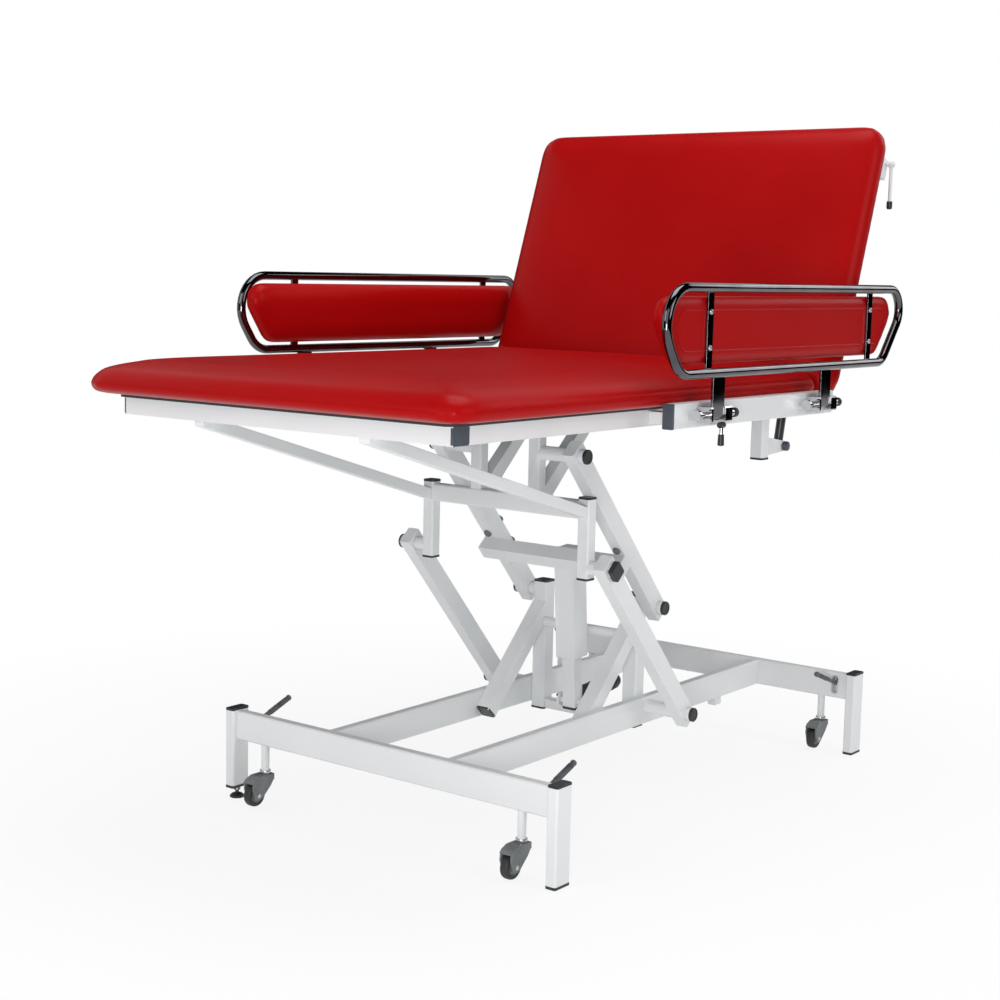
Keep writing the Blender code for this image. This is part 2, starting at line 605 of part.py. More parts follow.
# Hanging posts with rear struts and the upper pivot tubes
HANG_Y0 = 0.066
HANG_Y1 = 0.096
STRUT_TOP = FRAME_LOW - 0.0002
STRUT_X = (-0.049, -0.006)
STRUT_HEEL = 0.004
strut = [(CX, BAR_Z1 + STRUT_HEEL), (MP1 + GAP, BAR_Z1 + STRUT_HEEL)]
strut += [(MP1 + GAP, BAR_Z0 + 3 * STRUT_HEEL), (STRUT_X[1], STRUT_TOP)]
strut += [(STRUT_X[0], STRUT_TOP), (CX, BAR_Z1 + 2 * STRUT_HEEL)]
for tag, sy in SIDES:
    bm = bmesh.new()
    y0, y1 = span(sy, HANG_Y0, HANG_Y1)
    box(bm, MP0, MP1, y0, y1, BAR_Z1 + GAP, FRAME_LOW, EDGE)
    weld = bmesh.new()
    plate(weld, strut, y0 + SKIN, y1 - SKIN)
    stub(weld, UPPER_TOP, sy, HANG_Y1 - LAP, UPPER_PIN_END, PIVOT_R)
    node("hanging_post_" + tag, bm, "white_paint", CAR_O, weld=weld)

# Seat frame of rectangular tube, with cross tubes over the supports and hinge lugs
FRONT_TUBE = 0.048
REAR_TUBE = 0.040
SIDE_IN = FRAME_HALF_W - 0.030
LUG_Y0 = 0.340
LUG_Y1 = 0.352
HINGE_BORE = 0.0074
bm = bmesh.new()
openings = []
for xa, xb in ((FRAME_X0 + FRONT_TUBE, CX - 0.020), (CX + 0.020, -0.050), (-0.005, FRAME_X1 - REAR_TUBE)):
    openings.append([(xa, -SIDE_IN), (xb, -SIDE_IN), (xb, SIDE_IN), (xa, SIDE_IN)])
edge = [(FRAME_X0, -FRAME_HALF_W), (FRAME_X1, -FRAME_HALF_W)]
edge += [(FRAME_X1, FRAME_HALF_W), (FRAME_X0, FRAME_HALF_W)]
plate(bm, edge, FRAME_Z0, FRAME_Z1, "XY", openings)
weld = bmesh.new()
LUG_R = 0.0135
LUG_TOP = HINGE[1] - 0.0105
lug = [(FRAME_X1 - LAP, FRAME_Z0 + SKIN), (HINGE[0] + 0.002, FRAME_Z0 + SKIN)]
for k in range(13):
    s = radians(-50.0 + 20.0 * k)
    lug.append((HINGE[0] + LUG_R * cos(s), HINGE[1] + LUG_R * sin(s)))
lug += [(HINGE[0] - 0.0165, LUG_TOP), (FRAME_X1 - LAP, LUG_TOP)]
for sy in (-1, 1):
    y0, y1 = span(sy, LUG_Y0, LUG_Y1)
    plate(weld, lug, y0, y1, "XZ", [circle(HINGE[0], HINGE[1], HINGE_BORE)])
node("seat_frame", bm, "white_paint", CAR_O, weld=weld)

# Accessory rails outside the cushion, held on spacers
RAIL_HALF = 0.0125
RAIL_LOW = 0.8915
RAIL_HIGH = 0.9425
SPACER_X = (-0.344, -0.050, 0.232)
SPACER = 0.030
SPACER_Z = (0.895, 0.920)
RAIL_CAP = 0.004
for tag, sy in SIDES:
    bm = bmesh.new()
    y0, y1 = span(sy, RAIL_Y - RAIL_HALF, RAIL_Y + RAIL_HALF)
    box(bm, RAIL_X0 - RAIL_CAP, RAIL_X1 + RAIL_CAP, y0, y1, RAIL_LOW, RAIL_HIGH, 0.002, "X")
    weld = bmesh.new()
    y0, y1 = span(sy, FRAME_HALF_W + GAP, RAIL_Y - RAIL_HALF + RAIL_CAP)
    for xs in SPACER_X:
        box(weld, xs, xs + SPACER, y0, y1, SPACER_Z[0], SPACER_Z[1])
    node("accessory_rail_" + tag, bm, "white_paint", CAR_O, weld=weld)

# Rear hanging mount for the gas spring, with its fork
GAS_FOOT = (HINGE[0] + GAS_RADIUS * cos(GAS_FOOT_ANGLE), HINGE[1] + GAS_RADIUS * sin(GAS_FOOT_ANGLE))
MOUNT_HALF = 0.0165
MOUNT_X = 0.310
MOUNT_Z = 0.766
FORK_T = 0.004
FORK_R = 0.0125
GAS_PIN_R = 0.005
GAS_BORE = GAS_PIN_R + BORE_GAP
FORK_Y = (GAS_Y - MOUNT_HALF + SKIN, GAS_Y + MOUNT_HALF - FORK_T - SKIN)
bm = bmesh.new()
box(bm, MOUNT_X - MOUNT_HALF, MOUNT_X + MOUNT_HALF, GAS_Y - MOUNT_HALF, GAS_Y + MOUNT_HALF,
    MOUNT_Z, FRAME_LOW, EDGE)
weld = bmesh.new()
lug = ear([(MOUNT_X, MOUNT_Z + 0.009), (MOUNT_X, MOUNT_Z + 0.054)], GAS_FOOT, FORK_R)
for y in FORK_Y:
    plate(weld, lug, y, y + FORK_T, "XZ", [circle(GAS_FOOT[0], GAS_FOOT[1], GAS_BORE)])
node("rear_mount", bm, "white_paint", CAR_O, weld=weld)

# Seat board and cushion
BOARD_IN = 0.025
BOARD_CORNER = 0.020
BOARD_LOW = FRAME_Z1 + GAP
bm = bmesh.new()
box(bm, SEAT_X0 + 2 * BOARD_IN, SEAT_X1 - BOARD_IN, -BOARD_HALF_W, BOARD_HALF_W,
    BOARD_LOW, BOARD_LOW + BOARD_T, BOARD_CORNER)
node("seat_board", bm, "board", CAR_O)
SEAT_CORNER = 0.055
SEAT_RINGS = ((0.030, 0.0), (0.011, 0.0015), (0.003, 0.010), (0.0, 0.021), (0.0035, 0.031),
              (0.012, 0.041), (0.028, 0.050), (0.055, 0.058), (0.100, 0.065), (0.180, 0.070),
              (0.300, 0.0725))
corners = [(SEAT_X0, -PAD_HALF_W), (SEAT_X1, -PAD_HALF_W), (SEAT_X1, PAD_HALF_W), (SEAT_X0, PAD_HALF_W)]
bm = bmesh.new()
cushion(bm, corners, SEAT_CORNER, SEAT_RINGS, 6, lambda u, v, w: (u, v, PAD_Z0 + w))
node("seat_cushion", bm, "red_vinyl", CAR_O)

# Backrest, drawn lying flat and then swung up about its hinge
BACK_X0 = HINGE[0] - 0.012
BACK_X1 = BACK_X0 + BACK_LENGTH
BACK_IN = 0.3525
BACK_OUT = 0.3775
BACK_TUBE = 0.025
CROSS_X = (0.460, 0.920)
raise_back = swing(BACK_ANGLE, HINGE)
HINGE_O = (HINGE[0], 0.0, HINGE[1])
HINGE_PIN = 0.007
HINGE_PIN_Y = LUG_Y0 - 0.004
LEVER_FLAT = (0.988, 0.887)
LEVER_Y = 0.008 - PAD_HALF_W
LEVER_PIN = 0.004
ARM_X = (0.955, 0.980)
GAS_LUG = (HINGE[0] + GAS_RADIUS * cos(GAS_LUG_ANGLE), HINGE[1] + GAS_RADIUS * sin(GAS_LUG_ANGLE))
low = HINGE[0] - 0.0115
high = 0.985
c0 = CROSS_X[0]
c1 = CROSS_X[1]
edge = [(low, -BACK_OUT), (high, -BACK_OUT), (high, -BACK_IN), (c1 + BACK_TUBE, -BACK_IN)]
edge += [(c1 + BACK_TUBE, BACK_IN), (high, BACK_IN), (high, BACK_OUT), (low, BACK_OUT), (low, BACK_IN)]
edge += [(c0, BACK_IN), (c0, -BACK_IN), (low, -BACK_IN)]
hole = [(c0 + BACK_TUBE, -BACK_IN), (c1, -BACK_IN), (c1, BACK_IN), (c0 + BACK_TUBE, BACK_IN)]
bm = bmesh.new()
plate(bm, edge, FRAME_Z1 - BACK_TUBE, FRAME_Z1, "XY", [hole])
weld = bmesh.new()
for sy in (-1, 1):
    stub(weld, HINGE, sy, HINGE_PIN_Y, BACK_IN + LAP, HINGE_PIN)
root_x = c0 + BACK_TUBE - 0.005
lug = ear([(root_x, FRAME_Z1 - 0.021), (root_x, FRAME_Z1 - 0.004)], GAS_LUG, FORK_R - SKIN)
for y in FORK_Y:
    plate(weld, lug, y, y + FORK_T, "XZ", [circle(GAS_LUG[0], GAS_LUG[1], GAS_BORE)])
box(weld, ARM_X[0], ARM_X[1], LEVER_Y + 0.014, LAP - BACK_OUT, FRAME_Z1 - 0.020, FRAME_Z1 - SKIN)
box(weld, ARM_X[0] - 0.002, LEVER_FLAT[0] + 0.013, LEVER_Y + 0.015, LEVER_Y + 0.040,
    LEVER_FLAT[1] - 0.011, FRAME_Z1 - 2 * SKIN)
cyl(weld, (LEVER_FLAT[0], LEVER_Y + 0.021, LEVER_FLAT[1]),
    (LEVER_FLAT[0], LEVER_Y - 0.0095, LEVER_FLAT[1]), LEVER_PIN, 16)
bm.transform(raise_back)
weld.transform(raise_back)
node("backrest_frame", bm, "white_paint", HINGE_O, weld=weld)
bm = bmesh.new()
box(bm, BACK_X0 + 0.032, BACK_X1 - BOARD_IN, -BOARD_HALF_W, BOARD_HALF_W,
    BOARD_LOW, BOARD_LOW + BOARD_T, BOARD_CORNER)
bm.transform(raise_back)
node("backrest_board", bm, "board", HINGE_O)
BACK_CORNER = 0.050
BACK_RINGS = ((0.026, 0.0), (0.009, 0.0015), (0.002, 0.009), (0.0, 0.022), (0.002, 0.036),
              (0.009, 0.049), (0.022, 0.058), (0.045, 0.064), (0.090, 0.068), (0.170, 0.071),
              (0.260, 0.0725))
corners = [(BACK_X0, -PAD_HALF_W), (BACK_X1, -PAD_HALF_W), (BACK_X1, PAD_HALF_W), (BACK_X0, PAD_HALF_W)]
bm = bmesh.new()
cushion(bm, corners, BACK_CORNER, BACK_RINGS, 6, lambda u, v, w: (u, v, PAD_Z0 + w))
bm.transform(raise_back)
node("backrest_cushion", bm, "red_vinyl", HINGE_O)

# Gas spring with equal radii at both ends, so both halves turn half as far as the backrest
lug_now = raise_back @ Vector((GAS_LUG[0], GAS_Y, GAS_LUG[1]))
foot_now = Vector((GAS_FOOT[0], GAS_Y, GAS_FOOT[1]))
line = (lug_now - foot_now).normalized()
across = Vector((0.0, 1.0, 0.0))
GAS_STROKE_END = 0.134
EYE_HALF = 0.011
bm = bmesh.new()
prof = [(0.0, 0.0040), (0.0080, 0.0040), (0.0110, 0.0120), (0.0110, GAS_STROKE_END)]
prof += [(0.0060, GAS_STROKE_END), (0.0060, 0.016), (0.0, 0.016)]
lathe(bm, foot_now, foot_now + line, prof, 20)
weld = bmesh.new()
cyl(weld, foot_now - EYE_HALF * across, foot_now + EYE_HALF * across, 0.0090, 20)
cyl(weld, foot_now - 0.0210 * across, foot_now + 0.0175 * across, GAS_PIN_R, 16)
cyl(weld, foot_now - 0.0280 * across, foot_now - 0.0180 * across, 0.011, 20)
node("gas_cylinder", bm, "black_plastic", tuple(foot_now), weld=weld)
bm = bmesh.new()
prof = [(0.0, 0.0040), (0.0045, 0.0040), (0.0045, GAS_STROKE_END), (0.0, GAS_STROKE_END)]
lathe(bm, lug_now, lug_now - line, prof, 16)
weld = bmesh.new()
cyl(weld, lug_now - EYE_HALF * across, lug_now + EYE_HALF * across, 0.0085, 20)
cyl(weld, lug_now - 0.0175 * across, lug_now + 0.0175 * across, GAS_PIN_R, 16)
node("gas_rod", bm, "steel", tuple(lug_now), weld=weld)

# Release lever hanging behind the backrest
lx, ly, lz = raise_back @ Vector((LEVER_FLAT[0], LEVER_Y, LEVER_FLAT[1]))
EYE_R = 0.0085
bm = bmesh.new()
eye = circle(lx, lz, LEVER_PIN + SKIN, 16)
plate(bm, circle(lx, lz, EYE_R), ly - EYE_HALF / 2, ly + EYE_HALF / 2, "XZ", [eye])
weld = bmesh.new()
prof = [(0.0, 0.0065), (0.0042, 0.0065), (0.0042, 0.086), (0.0065, 0.087), (0.0065, 0.102)]
prof += [(0.004, 0.106), (0.0, 0.106)]
lathe(weld, (lx, ly, lz), (lx, ly, lz - 1.0), prof, 16)
node("release_lever", bm, "white_paint", (lx, ly, lz), weld=weld)

# Clamps on the accessory rails, each with the pin that a side rail folds on
CLAMP_Y0 = RAIL_Y + RAIL_HALF + GAP
CLAMP_Y1 = FOLD_Y + 0.015
CLAMP_Z0 = FOLD_Z - 0.016
CLAMP_Z1 = FOLD_Z + 0.016
BARREL_HALF = 0.023
BARREL_GAP = BARREL_HALF + 2 * GAP
KNOB_R = 0.011
EYE_Z = CLAMP_Z0 - 0.0075
for tag, sy in SIDES:
    y0, y1 = span(sy, CLAMP_Y0, CLAMP_Y1)
    fy = sy * FOLD_Y
    for place_name, clamp_x in zip(("front", "rear"), CLAMP_X):
        xc = clamp_x + SLIDE[tag]
        bm = bmesh.new()
        box(bm, xc + BARREL_GAP, xc + 0.052, y0, y1, CLAMP_Z0, CLAMP_Z1, EDGE, "X")
        weld = bmesh.new()
        box(weld, xc - 0.031, xc - BARREL_GAP, y0, y1, CLAMP_Z0, CLAMP_Z1, EDGE, "X")
        cyl(weld, (xc - 0.062, fy, FOLD_Z), (xc + 0.090, fy, FOLD_Z), PIN_R, 20)
        cyl(weld, (xc - 0.066, fy, FOLD_Z), (xc - 0.058, fy, FOLD_Z), KNOB_R)
        node("clamp_" + place_name + "_" + tag, bm, "chrome", CAR_O, weld=weld)
    x = CLAMP_X[0] + SLIDE[tag] + 0.035
    bm = bmesh.new()
    cyl(bm, (x - 0.008, fy, EYE_Z), (x + 0.008, fy, EYE_Z), 0.0065, 16)
    weld = bmesh.new()
    prof = [(0.0, 0.0045), (0.0035, 0.0045), (0.0035, 0.019), (0.0062, 0.020)]
    prof += [(0.0070, 0.042), (0.0, 0.044)]
    lathe(weld, (x, fy, EYE_Z), (x, fy, EYE_Z - 1.0), prof, 16)
    node("clamp_lever_" + tag, bm, "black_plastic", (x, fy, EYE_Z), weld=weld)

# Side rails: bent chrome loop with flat straps and legs, and a padded bolster
LOOP = [(-0.436, LOOP_BOTTOM), (0.466, LOOP_BOTTOM), (0.606, LOOP_TOP), (-0.552, LOOP_TOP)]
LOOP_BEND = 0.050
TUBE_SIDES = 10
STRAP_HALF = 0.011
STRAP_Y0 = FOLD_Y + 0.0042
STRAP_Y1 = STRAP_Y0 + 0.0048
LEG_EYE = 0.012
LEG_T = 0.006
LEG_LAP_Z = LOOP_BOTTOM - 0.004
BOLSTER_BACK = STRAP_Y0 - SKIN
BOLSTER_IN = 0.022
BOLSTER_CORNER = 0.034
BOLSTER_RINGS = ((0.010, 0.0), (0.003, 0.002), (0.0, 0.010), (0.0, 0.022), (0.003, 0.032),
                 (0.010, 0.039), (0.022, 0.0435), (0.036, 0.0455))
for tag, sy in SIDES:
    fold = (0.0, sy * FOLD_Y, FOLD_Z)
    slide = SLIDE[tag]
    frame = [(u + slide, v) for u, v in LOOP]
    path = outline(frame, 0.0, LOOP_BEND, 6)
    count = len(path)
    bm = bmesh.new()
    rows = []
    for k in range(count):
        t = (Vector(path[(k + 1) % count]) - Vector(path[k - 1])).normalized()
        row = []
        for m in range(TUBE_SIDES):
            s = 2 * pi * m / TUBE_SIDES
            u = path[k][0] + LOOP_TUBE * cos(s) * t.y
            v = path[k][1] - LOOP_TUBE * cos(s) * t.x
            row.append(bm.verts.new((u, sy * LOOP_Y + LOOP_TUBE * sin(s), v)))
        rows.append(row)
    for k in range(count):
        a0 = rows[k]
        b0 = rows[(k + 1) % count]
        for m in range(TUBE_SIDES):
            n = (m + 1) % TUBE_SIDES
            bm.faces.new((a0[m], a0[n], b0[n], b0[m]))
    weld = bmesh.new()
    y0, y1 = span(sy, STRAP_Y0, STRAP_Y1)
    for strap_x in STRAP_X:
        xs = strap_x + slide
        box(weld, xs - STRAP_HALF, xs + STRAP_HALF, y0, y1, LOOP_BOTTOM + EDGE, LOOP_TOP - EDGE)
    for clamp_x in CLAMP_X:
        xc = clamp_x + slide
        pts = [(FOLD_Y + LEG_EYE, FOLD_Z)]
        for k in range(1, 17):
            s = -radians(300.0) * k / 16
            pts.append((FOLD_Y + LEG_EYE * cos(s), FOLD_Z + LEG_EYE * sin(s)))
        pts += [(FOLD_Y + LEG_EYE - LEG_T, LEG_LAP_Z), (FOLD_Y + LEG_EYE, LEG_LAP_Z)]
        hole = [(sy * u, v) for u, v in circle(FOLD_Y, FOLD_Z, PIN_BORE)]
        plate(weld, [(sy * u, v) for u, v in pts], xc - BARREL_HALF, xc + BARREL_HALF, "YZ", [hole])
    node("side_rail_" + tag, bm, "chrome", fold, weld=weld)
    bm = bmesh.new()
    corners = [tuple(c) for c in inset_corners(frame, BOLSTER_IN)]
    cushion(bm, corners, BOLSTER_CORNER, BOLSTER_RINGS, 5,
            lambda u, v, w: (u, sy * (BOLSTER_BACK - w), v))
    node("side_bolster_" + tag, bm, "red_vinyl", fold)
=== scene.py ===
import bpy
import bmesh
import json
from math import cos, sin, pi, radians, atan2, tan
from mathutils import Vector, Matrix


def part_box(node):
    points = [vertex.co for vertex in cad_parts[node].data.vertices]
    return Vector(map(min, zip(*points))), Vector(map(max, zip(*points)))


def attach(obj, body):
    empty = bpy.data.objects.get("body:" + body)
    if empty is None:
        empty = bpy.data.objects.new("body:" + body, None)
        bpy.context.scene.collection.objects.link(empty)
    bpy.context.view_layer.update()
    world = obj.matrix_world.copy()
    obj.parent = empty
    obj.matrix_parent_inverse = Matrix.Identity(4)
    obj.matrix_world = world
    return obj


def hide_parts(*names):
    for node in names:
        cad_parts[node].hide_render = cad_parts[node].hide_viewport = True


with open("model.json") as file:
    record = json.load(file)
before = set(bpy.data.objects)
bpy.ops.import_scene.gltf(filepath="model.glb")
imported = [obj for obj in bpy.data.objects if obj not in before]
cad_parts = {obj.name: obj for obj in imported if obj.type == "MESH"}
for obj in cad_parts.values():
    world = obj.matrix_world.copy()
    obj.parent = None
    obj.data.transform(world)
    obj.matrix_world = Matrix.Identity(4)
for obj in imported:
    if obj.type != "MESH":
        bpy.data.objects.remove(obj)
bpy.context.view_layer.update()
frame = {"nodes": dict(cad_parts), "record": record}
scene = bpy.context.scene
scene.view_settings.view_transform = "Standard"

# The studio: a white sweep with soft boxes on both sides of the camera.
# The camera stands to the foot end's near side, a little above the cushion.
lens_px = 1745.1
camera_at = Vector((-3.1595, -2.339, 1.199))
heading = radians(52.764)
pitch = radians(-7.522)
roll = radians(1.303)
forward = Vector((sin(heading) * cos(pitch), cos(heading) * cos(pitch), sin(pitch)))
level = forward.cross(Vector((0, 0, 1))).normalized()
above = level.cross(forward)
right = cos(roll) * level + sin(roll) * above
up = cos(roll) * above - sin(roll) * level
camera = bpy.data.objects.new("camera", bpy.data.cameras.new("camera"))
camera.data.sensor_width = 36.0
camera.data.lens = lens_px * 36.0 / 1000.0
camera.matrix_world = Matrix.Translation(camera_at) @ Matrix((right, up, -forward)).transposed().to_4x4()
scene.collection.objects.link(camera)
scene.camera = camera


def seen_directly(tree):
    """A factor that is 1 for camera, mirror and see-through rays."""
    path = tree.nodes.new("ShaderNodeLightPath")
    factor = path.outputs["Is Camera Ray"]
    for ray in ("Is Glossy Ray", "Is Transmission Ray"):
        either = tree.nodes.new("ShaderNodeMath")
        either.operation = "MAXIMUM"
        tree.links.new(factor, either.inputs[0])
        tree.links.new(path.outputs[ray], either.inputs[1])
        factor = either.outputs[0]
    return factor


world = bpy.data.worlds.new("studio")
world.use_nodes = True
tree = world.node_tree
sky = tree.nodes["Background"]
sky.inputs["Color"].default_value = (1, 1, 1, 1)
sky.inputs["Strength"].default_value = 0.37
white = tree.nodes.new("ShaderNodeBackground")
white.inputs["Color"].default_value = (1, 1, 1, 1)
white.inputs["Strength"].default_value = 1.0
mix = tree.nodes.new("ShaderNodeMixShader")
tree.links.new(seen_directly(tree), mix.inputs["Fac"])
tree.links.new(sky.outputs[0], mix.inputs[1])
tree.links.new(white.outputs[0], mix.inputs[2])
tree.links.new(mix.outputs[0], tree.nodes["World Output"].inputs["Surface"])
scene.world = world

floor_mesh = bpy.data.meshes.new("floor")
floor_half = 12.0
floor_mesh.from_pydata([(-floor_half, -floor_half, -0.0005), (floor_half, -floor_half, -0.0005),
                        (floor_half, floor_half, -0.0005), (-floor_half, floor_half, -0.0005)], [], [(0, 1, 2, 3)])
floor = bpy.data.objects.new("floor", floor_mesh)
scene.collection.objects.link(floor)
floor_paint = bpy.data.materials.new("floor_paint")
floor_paint.use_nodes = True
tree = floor_paint.node_tree
matt = tree.nodes["Principled BSDF"]
matt.inputs["Base Color"].default_value = (0.93, 0.93, 0.93, 1)
matt.inputs["Roughness"].default_value = 0.9
matt.inputs["Specular IOR Level"].default_value = 0.0
glow = tree.nodes.new("ShaderNodeEmission")
glow.inputs["Strength"].default_value = 1.0
place = tree.nodes.new("ShaderNodeTexCoord")
reach = tree.nodes.new("ShaderNodeVectorMath")
reach.operation = "LENGTH"
fade = tree.nodes.new("ShaderNodeMapRange")
fade.interpolation_type = "SMOOTHSTEP"
fade.inputs["From Min"].default_value = 0.9
fade.inputs["From Max"].default_value = 2.2
fade.inputs["To Min"].default_value = 0.86
gate = tree.nodes.new("ShaderNodeMath")
gate.operation = "MULTIPLY"
mix = tree.nodes.new("ShaderNodeMixShader")
tree.links.new(place.outputs["Object"], reach.inputs[0])
tree.links.new(reach.outputs["Value"], fade.inputs["Value"])
tree.links.new(fade.outputs["Result"], gate.inputs[0])
tree.links.new(seen_directly(tree), gate.inputs[1])
tree.links.new(gate.outputs[0], mix.inputs["Fac"])
tree.links.new(matt.outputs[0], mix.inputs[1])
tree.links.new(glow.outputs[0], mix.inputs[2])
tree.links.new(mix.outputs[0], tree.nodes["Material Output"].inputs["Surface"])
floor_mesh.materials.append(floor_paint)


def soft_box(name, at, size, power):
    """Square lamp aimed at the middle of the table."""
    lamp = bpy.data.lights.new(name, "AREA")
    lamp.shape = "SQUARE"
    lamp.size = size
    lamp.energy = power
    ob = bpy.data.objects.new(name, lamp)
    ob.location = at
    ob.rotation_euler = (Vector((0.0, 0.0, 0.7)) - Vector(at)).to_track_quat("-Z", "Y").to_euler()
    scene.collection.objects.link(ob)


soft_box("key_box", (0.2, -4.6, 2.6), 2.0, 38)
soft_box("front_box", (-3.8, 0.9, 2.7), 1.8, 30)
soft_box("camera_box", (-3.2, -1.9, 0.85), 0.8, 40)
soft_box("top_box", (0.2, -0.3, 4.2), 2.6, 70)
soft_box("rear_box", (3.4, -1.6, 2.4), 1.6, 20)


def dark_card(name, at, width, height, grey):
    """Dark card that only shows in reflections, so that polished metal and vinyl keep their depth."""
    bm = bmesh.new()
    turn = (Vector((0.3, 0.0, 1.0)) - Vector(at)).to_track_quat("Z", "Y").to_matrix().to_4x4()
    spread = Matrix.Diagonal((width / 2, height / 2, 1.0, 1.0))
    bmesh.ops.create_grid(bm, x_segments=1, y_segments=1, size=1.0, matrix=Matrix.Translation(at) @ turn @ spread)
    mesh = bpy.data.meshes.new(name)
    bm.to_mesh(mesh)
    bm.free()
    black = bpy.data.materials.new(name)
    black.use_nodes = True
    cloth = black.node_tree.nodes["Principled BSDF"]
    cloth.inputs["Base Color"].default_value = (grey, grey, grey, 1)
    cloth.inputs["Roughness"].default_value = 1.0
    cloth.inputs["Specular IOR Level"].default_value = 0.0
    mesh.materials.append(black)
    card = bpy.data.objects.new(name, mesh)
    card.visible_camera = False
    card.visible_diffuse = False
    card.visible_shadow = False
    scene.collection.objects.link(card)


dark_card("near_card", (2.0, -5.6, 2.9), 22.0, 6.0, 0.005)
dark_card("front_card", (-7.0, 2.5, 3.4), 6.8, 20.0, 0.005)
dark_card("ceiling_card", (0.3, 0.0, 6.2), 12.0, 12.0, 0.005)
dark_card("rear_card", (7.0, 6.0, 3.0), 20.0, 6.0, 0.10)

# Base: square and flat steel tube welded into two end frames and two long rails.
# It is powder coated white over the welds, with a faint peel and rounded tube corners.
# Black plastic caps are pressed over every open tube end.


def surface_group():
    """Slow mottling for roughness and tint, and a fine height for bumps, from Object coordinates."""
    group = bpy.data.node_groups.new("surface", "ShaderNodeTree")
    for label, value in (("Patch Size", 0.2), ("Low", 0.3), ("High", 0.4), ("Grain Size", 0.001)):
        socket = group.interface.new_socket(label, in_out="INPUT", socket_type="NodeSocketFloat")
        socket.default_value = value
    for label in ("Mottle", "Range", "Height"):
        group.interface.new_socket(label, in_out="OUTPUT", socket_type="NodeSocketFloat")
    source = group.nodes.new("NodeGroupInput")
    sink = group.nodes.new("NodeGroupOutput")
    where = group.nodes.new("ShaderNodeTexCoord")

    def per_metre(label):
        share = group.nodes.new("ShaderNodeMath")
        share.operation = "DIVIDE"
        share.inputs[0].default_value = 1.0
        group.links.new(source.outputs[label], share.inputs[1])
        return share.outputs[0]

    slow = group.nodes.new("ShaderNodeTexNoise")
    slow.inputs["Detail"].default_value = 3.0
    group.links.new(where.outputs["Object"], slow.inputs["Vector"])
    group.links.new(per_metre("Patch Size"), slow.inputs["Scale"])
    fine = group.nodes.new("ShaderNodeTexNoise")
    fine.inputs["Detail"].default_value = 1.0
    group.links.new(where.outputs["Object"], fine.inputs["Vector"])
    group.links.new(per_metre("Grain Size"), fine.inputs["Scale"])
    spread = group.nodes.new("ShaderNodeMapRange")
    spread.inputs["From Min"].default_value = 0.3
    spread.inputs["From Max"].default_value = 0.7
    group.links.new(slow.outputs["Fac"], spread.inputs["Value"])
    group.links.new(source.outputs["Low"], spread.inputs["To Min"])
    group.links.new(source.outputs["High"], spread.inputs["To Max"])
    group.links.new(slow.outputs["Fac"], sink.inputs["Mottle"])
    group.links.new(spread.outputs["Result"], sink.inputs["Range"])
    group.links.new(fine.outputs["Fac"], sink.inputs["Height"])
    return group


surface = surface_group()


def finish(name, light, dark, rough, patch=0.2, grain=0.001, bump=0.05, metallic=0.0, coat=0.0):
    """Principled material whose colour, roughness and fine height come from the surface group."""
    mat = bpy.data.materials.new(name)
    mat.use_nodes = True
    tree = mat.node_tree
    bsdf = tree.nodes["Principled BSDF"]
    bsdf.inputs["Metallic"].default_value = metallic
    bsdf.inputs["Coat Weight"].default_value = coat
    bsdf.inputs["Coat Roughness"].default_value = 0.15
    group = tree.nodes.new("ShaderNodeGroup")
    group.node_tree = surface
    group.inputs["Patch Size"].default_value = patch
    group.inputs["Low"].default_value = rough[0]
    group.inputs["High"].default_value = rough[1]
    group.inputs["Grain Size"].default_value = grain
    ramp = tree.nodes.new("ShaderNodeValToRGB")
    ramp.color_ramp.elements[0].position = 0.35
    ramp.color_ramp.elements[0].color = dark + (1,)
    ramp.color_ramp.elements[1].position = 0.62
    ramp.color_ramp.elements[1].color = light + (1,)
    tree.links.new(group.outputs["Mottle"], ramp.inputs["Fac"])
    tree.links.new(ramp.outputs["Color"], bsdf.inputs["Base Color"])
    tree.links.new(group.outputs["Range"], bsdf.inputs["Roughness"])
    relief = tree.nodes.new("ShaderNodeBump")
    relief.inputs["Strength"].default_value = bump
    relief.inputs["Distance"].default_value = 0.0004
    tree.links.new(group.outputs["Height"], relief.inputs["Height"])
    tree.links.new(relief.outputs["Normal"], bsdf.inputs["Normal"])
    return mat


powder_coat = finish("white_powder_coat", (0.82, 0.84, 0.85), (0.78, 0.80, 0.815), (0.30, 0.38), 0.3, 0.0012, 0.06)
cap_plastic = finish("black_cap_plastic", (0.020, 0.021, 0.023), (0.013, 0.013, 0.015), (0.36, 0.50),
                     0.04, 0.0006, 0.10)
record = frame["record"]["behaviour"]
body_of_node = {n: b for b, nodes in record["bodies"].items() for n in nodes}
pivot = {j["name"]: Vector(j["pos_m"]) for j in record["joints"] if "pos_m" in j}
X = Vector((1, 0, 0))
Y = Vector((0, 1, 0))
Z = Vector((0, 0, 1))


def fit(ob, body, slot, *nodes):
    """The piece rides on a body and may stand for CAD nodes; its slot argument is not used."""
    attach(ob, body)
    if nodes:
        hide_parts(*nodes)
    return ob


def shaped(name, bm, material, sharp=35, bevel=0.0, segments=3):
    """Mesh object with smooth shading, one material and rounded edges."""
    mesh = bpy.data.meshes.new(name)
    bm.to_mesh(mesh)
    bm.free()
    mesh.shade_smooth()
    mesh.set_sharp_from_angle(angle=radians(sharp))
    mesh.materials.append(material)
    ob = bpy.data.objects.new(name, mesh)
    scene.collection.objects.link(ob)
    if bevel > 0:
        mod = ob.modifiers.new("edges", "BEVEL")
        mod.width = bevel
        mod.segments = segments
        mod.limit_method = "ANGLE"
        mod.angle_limit = radians(38)
        mod.harden_normals = True
    return ob


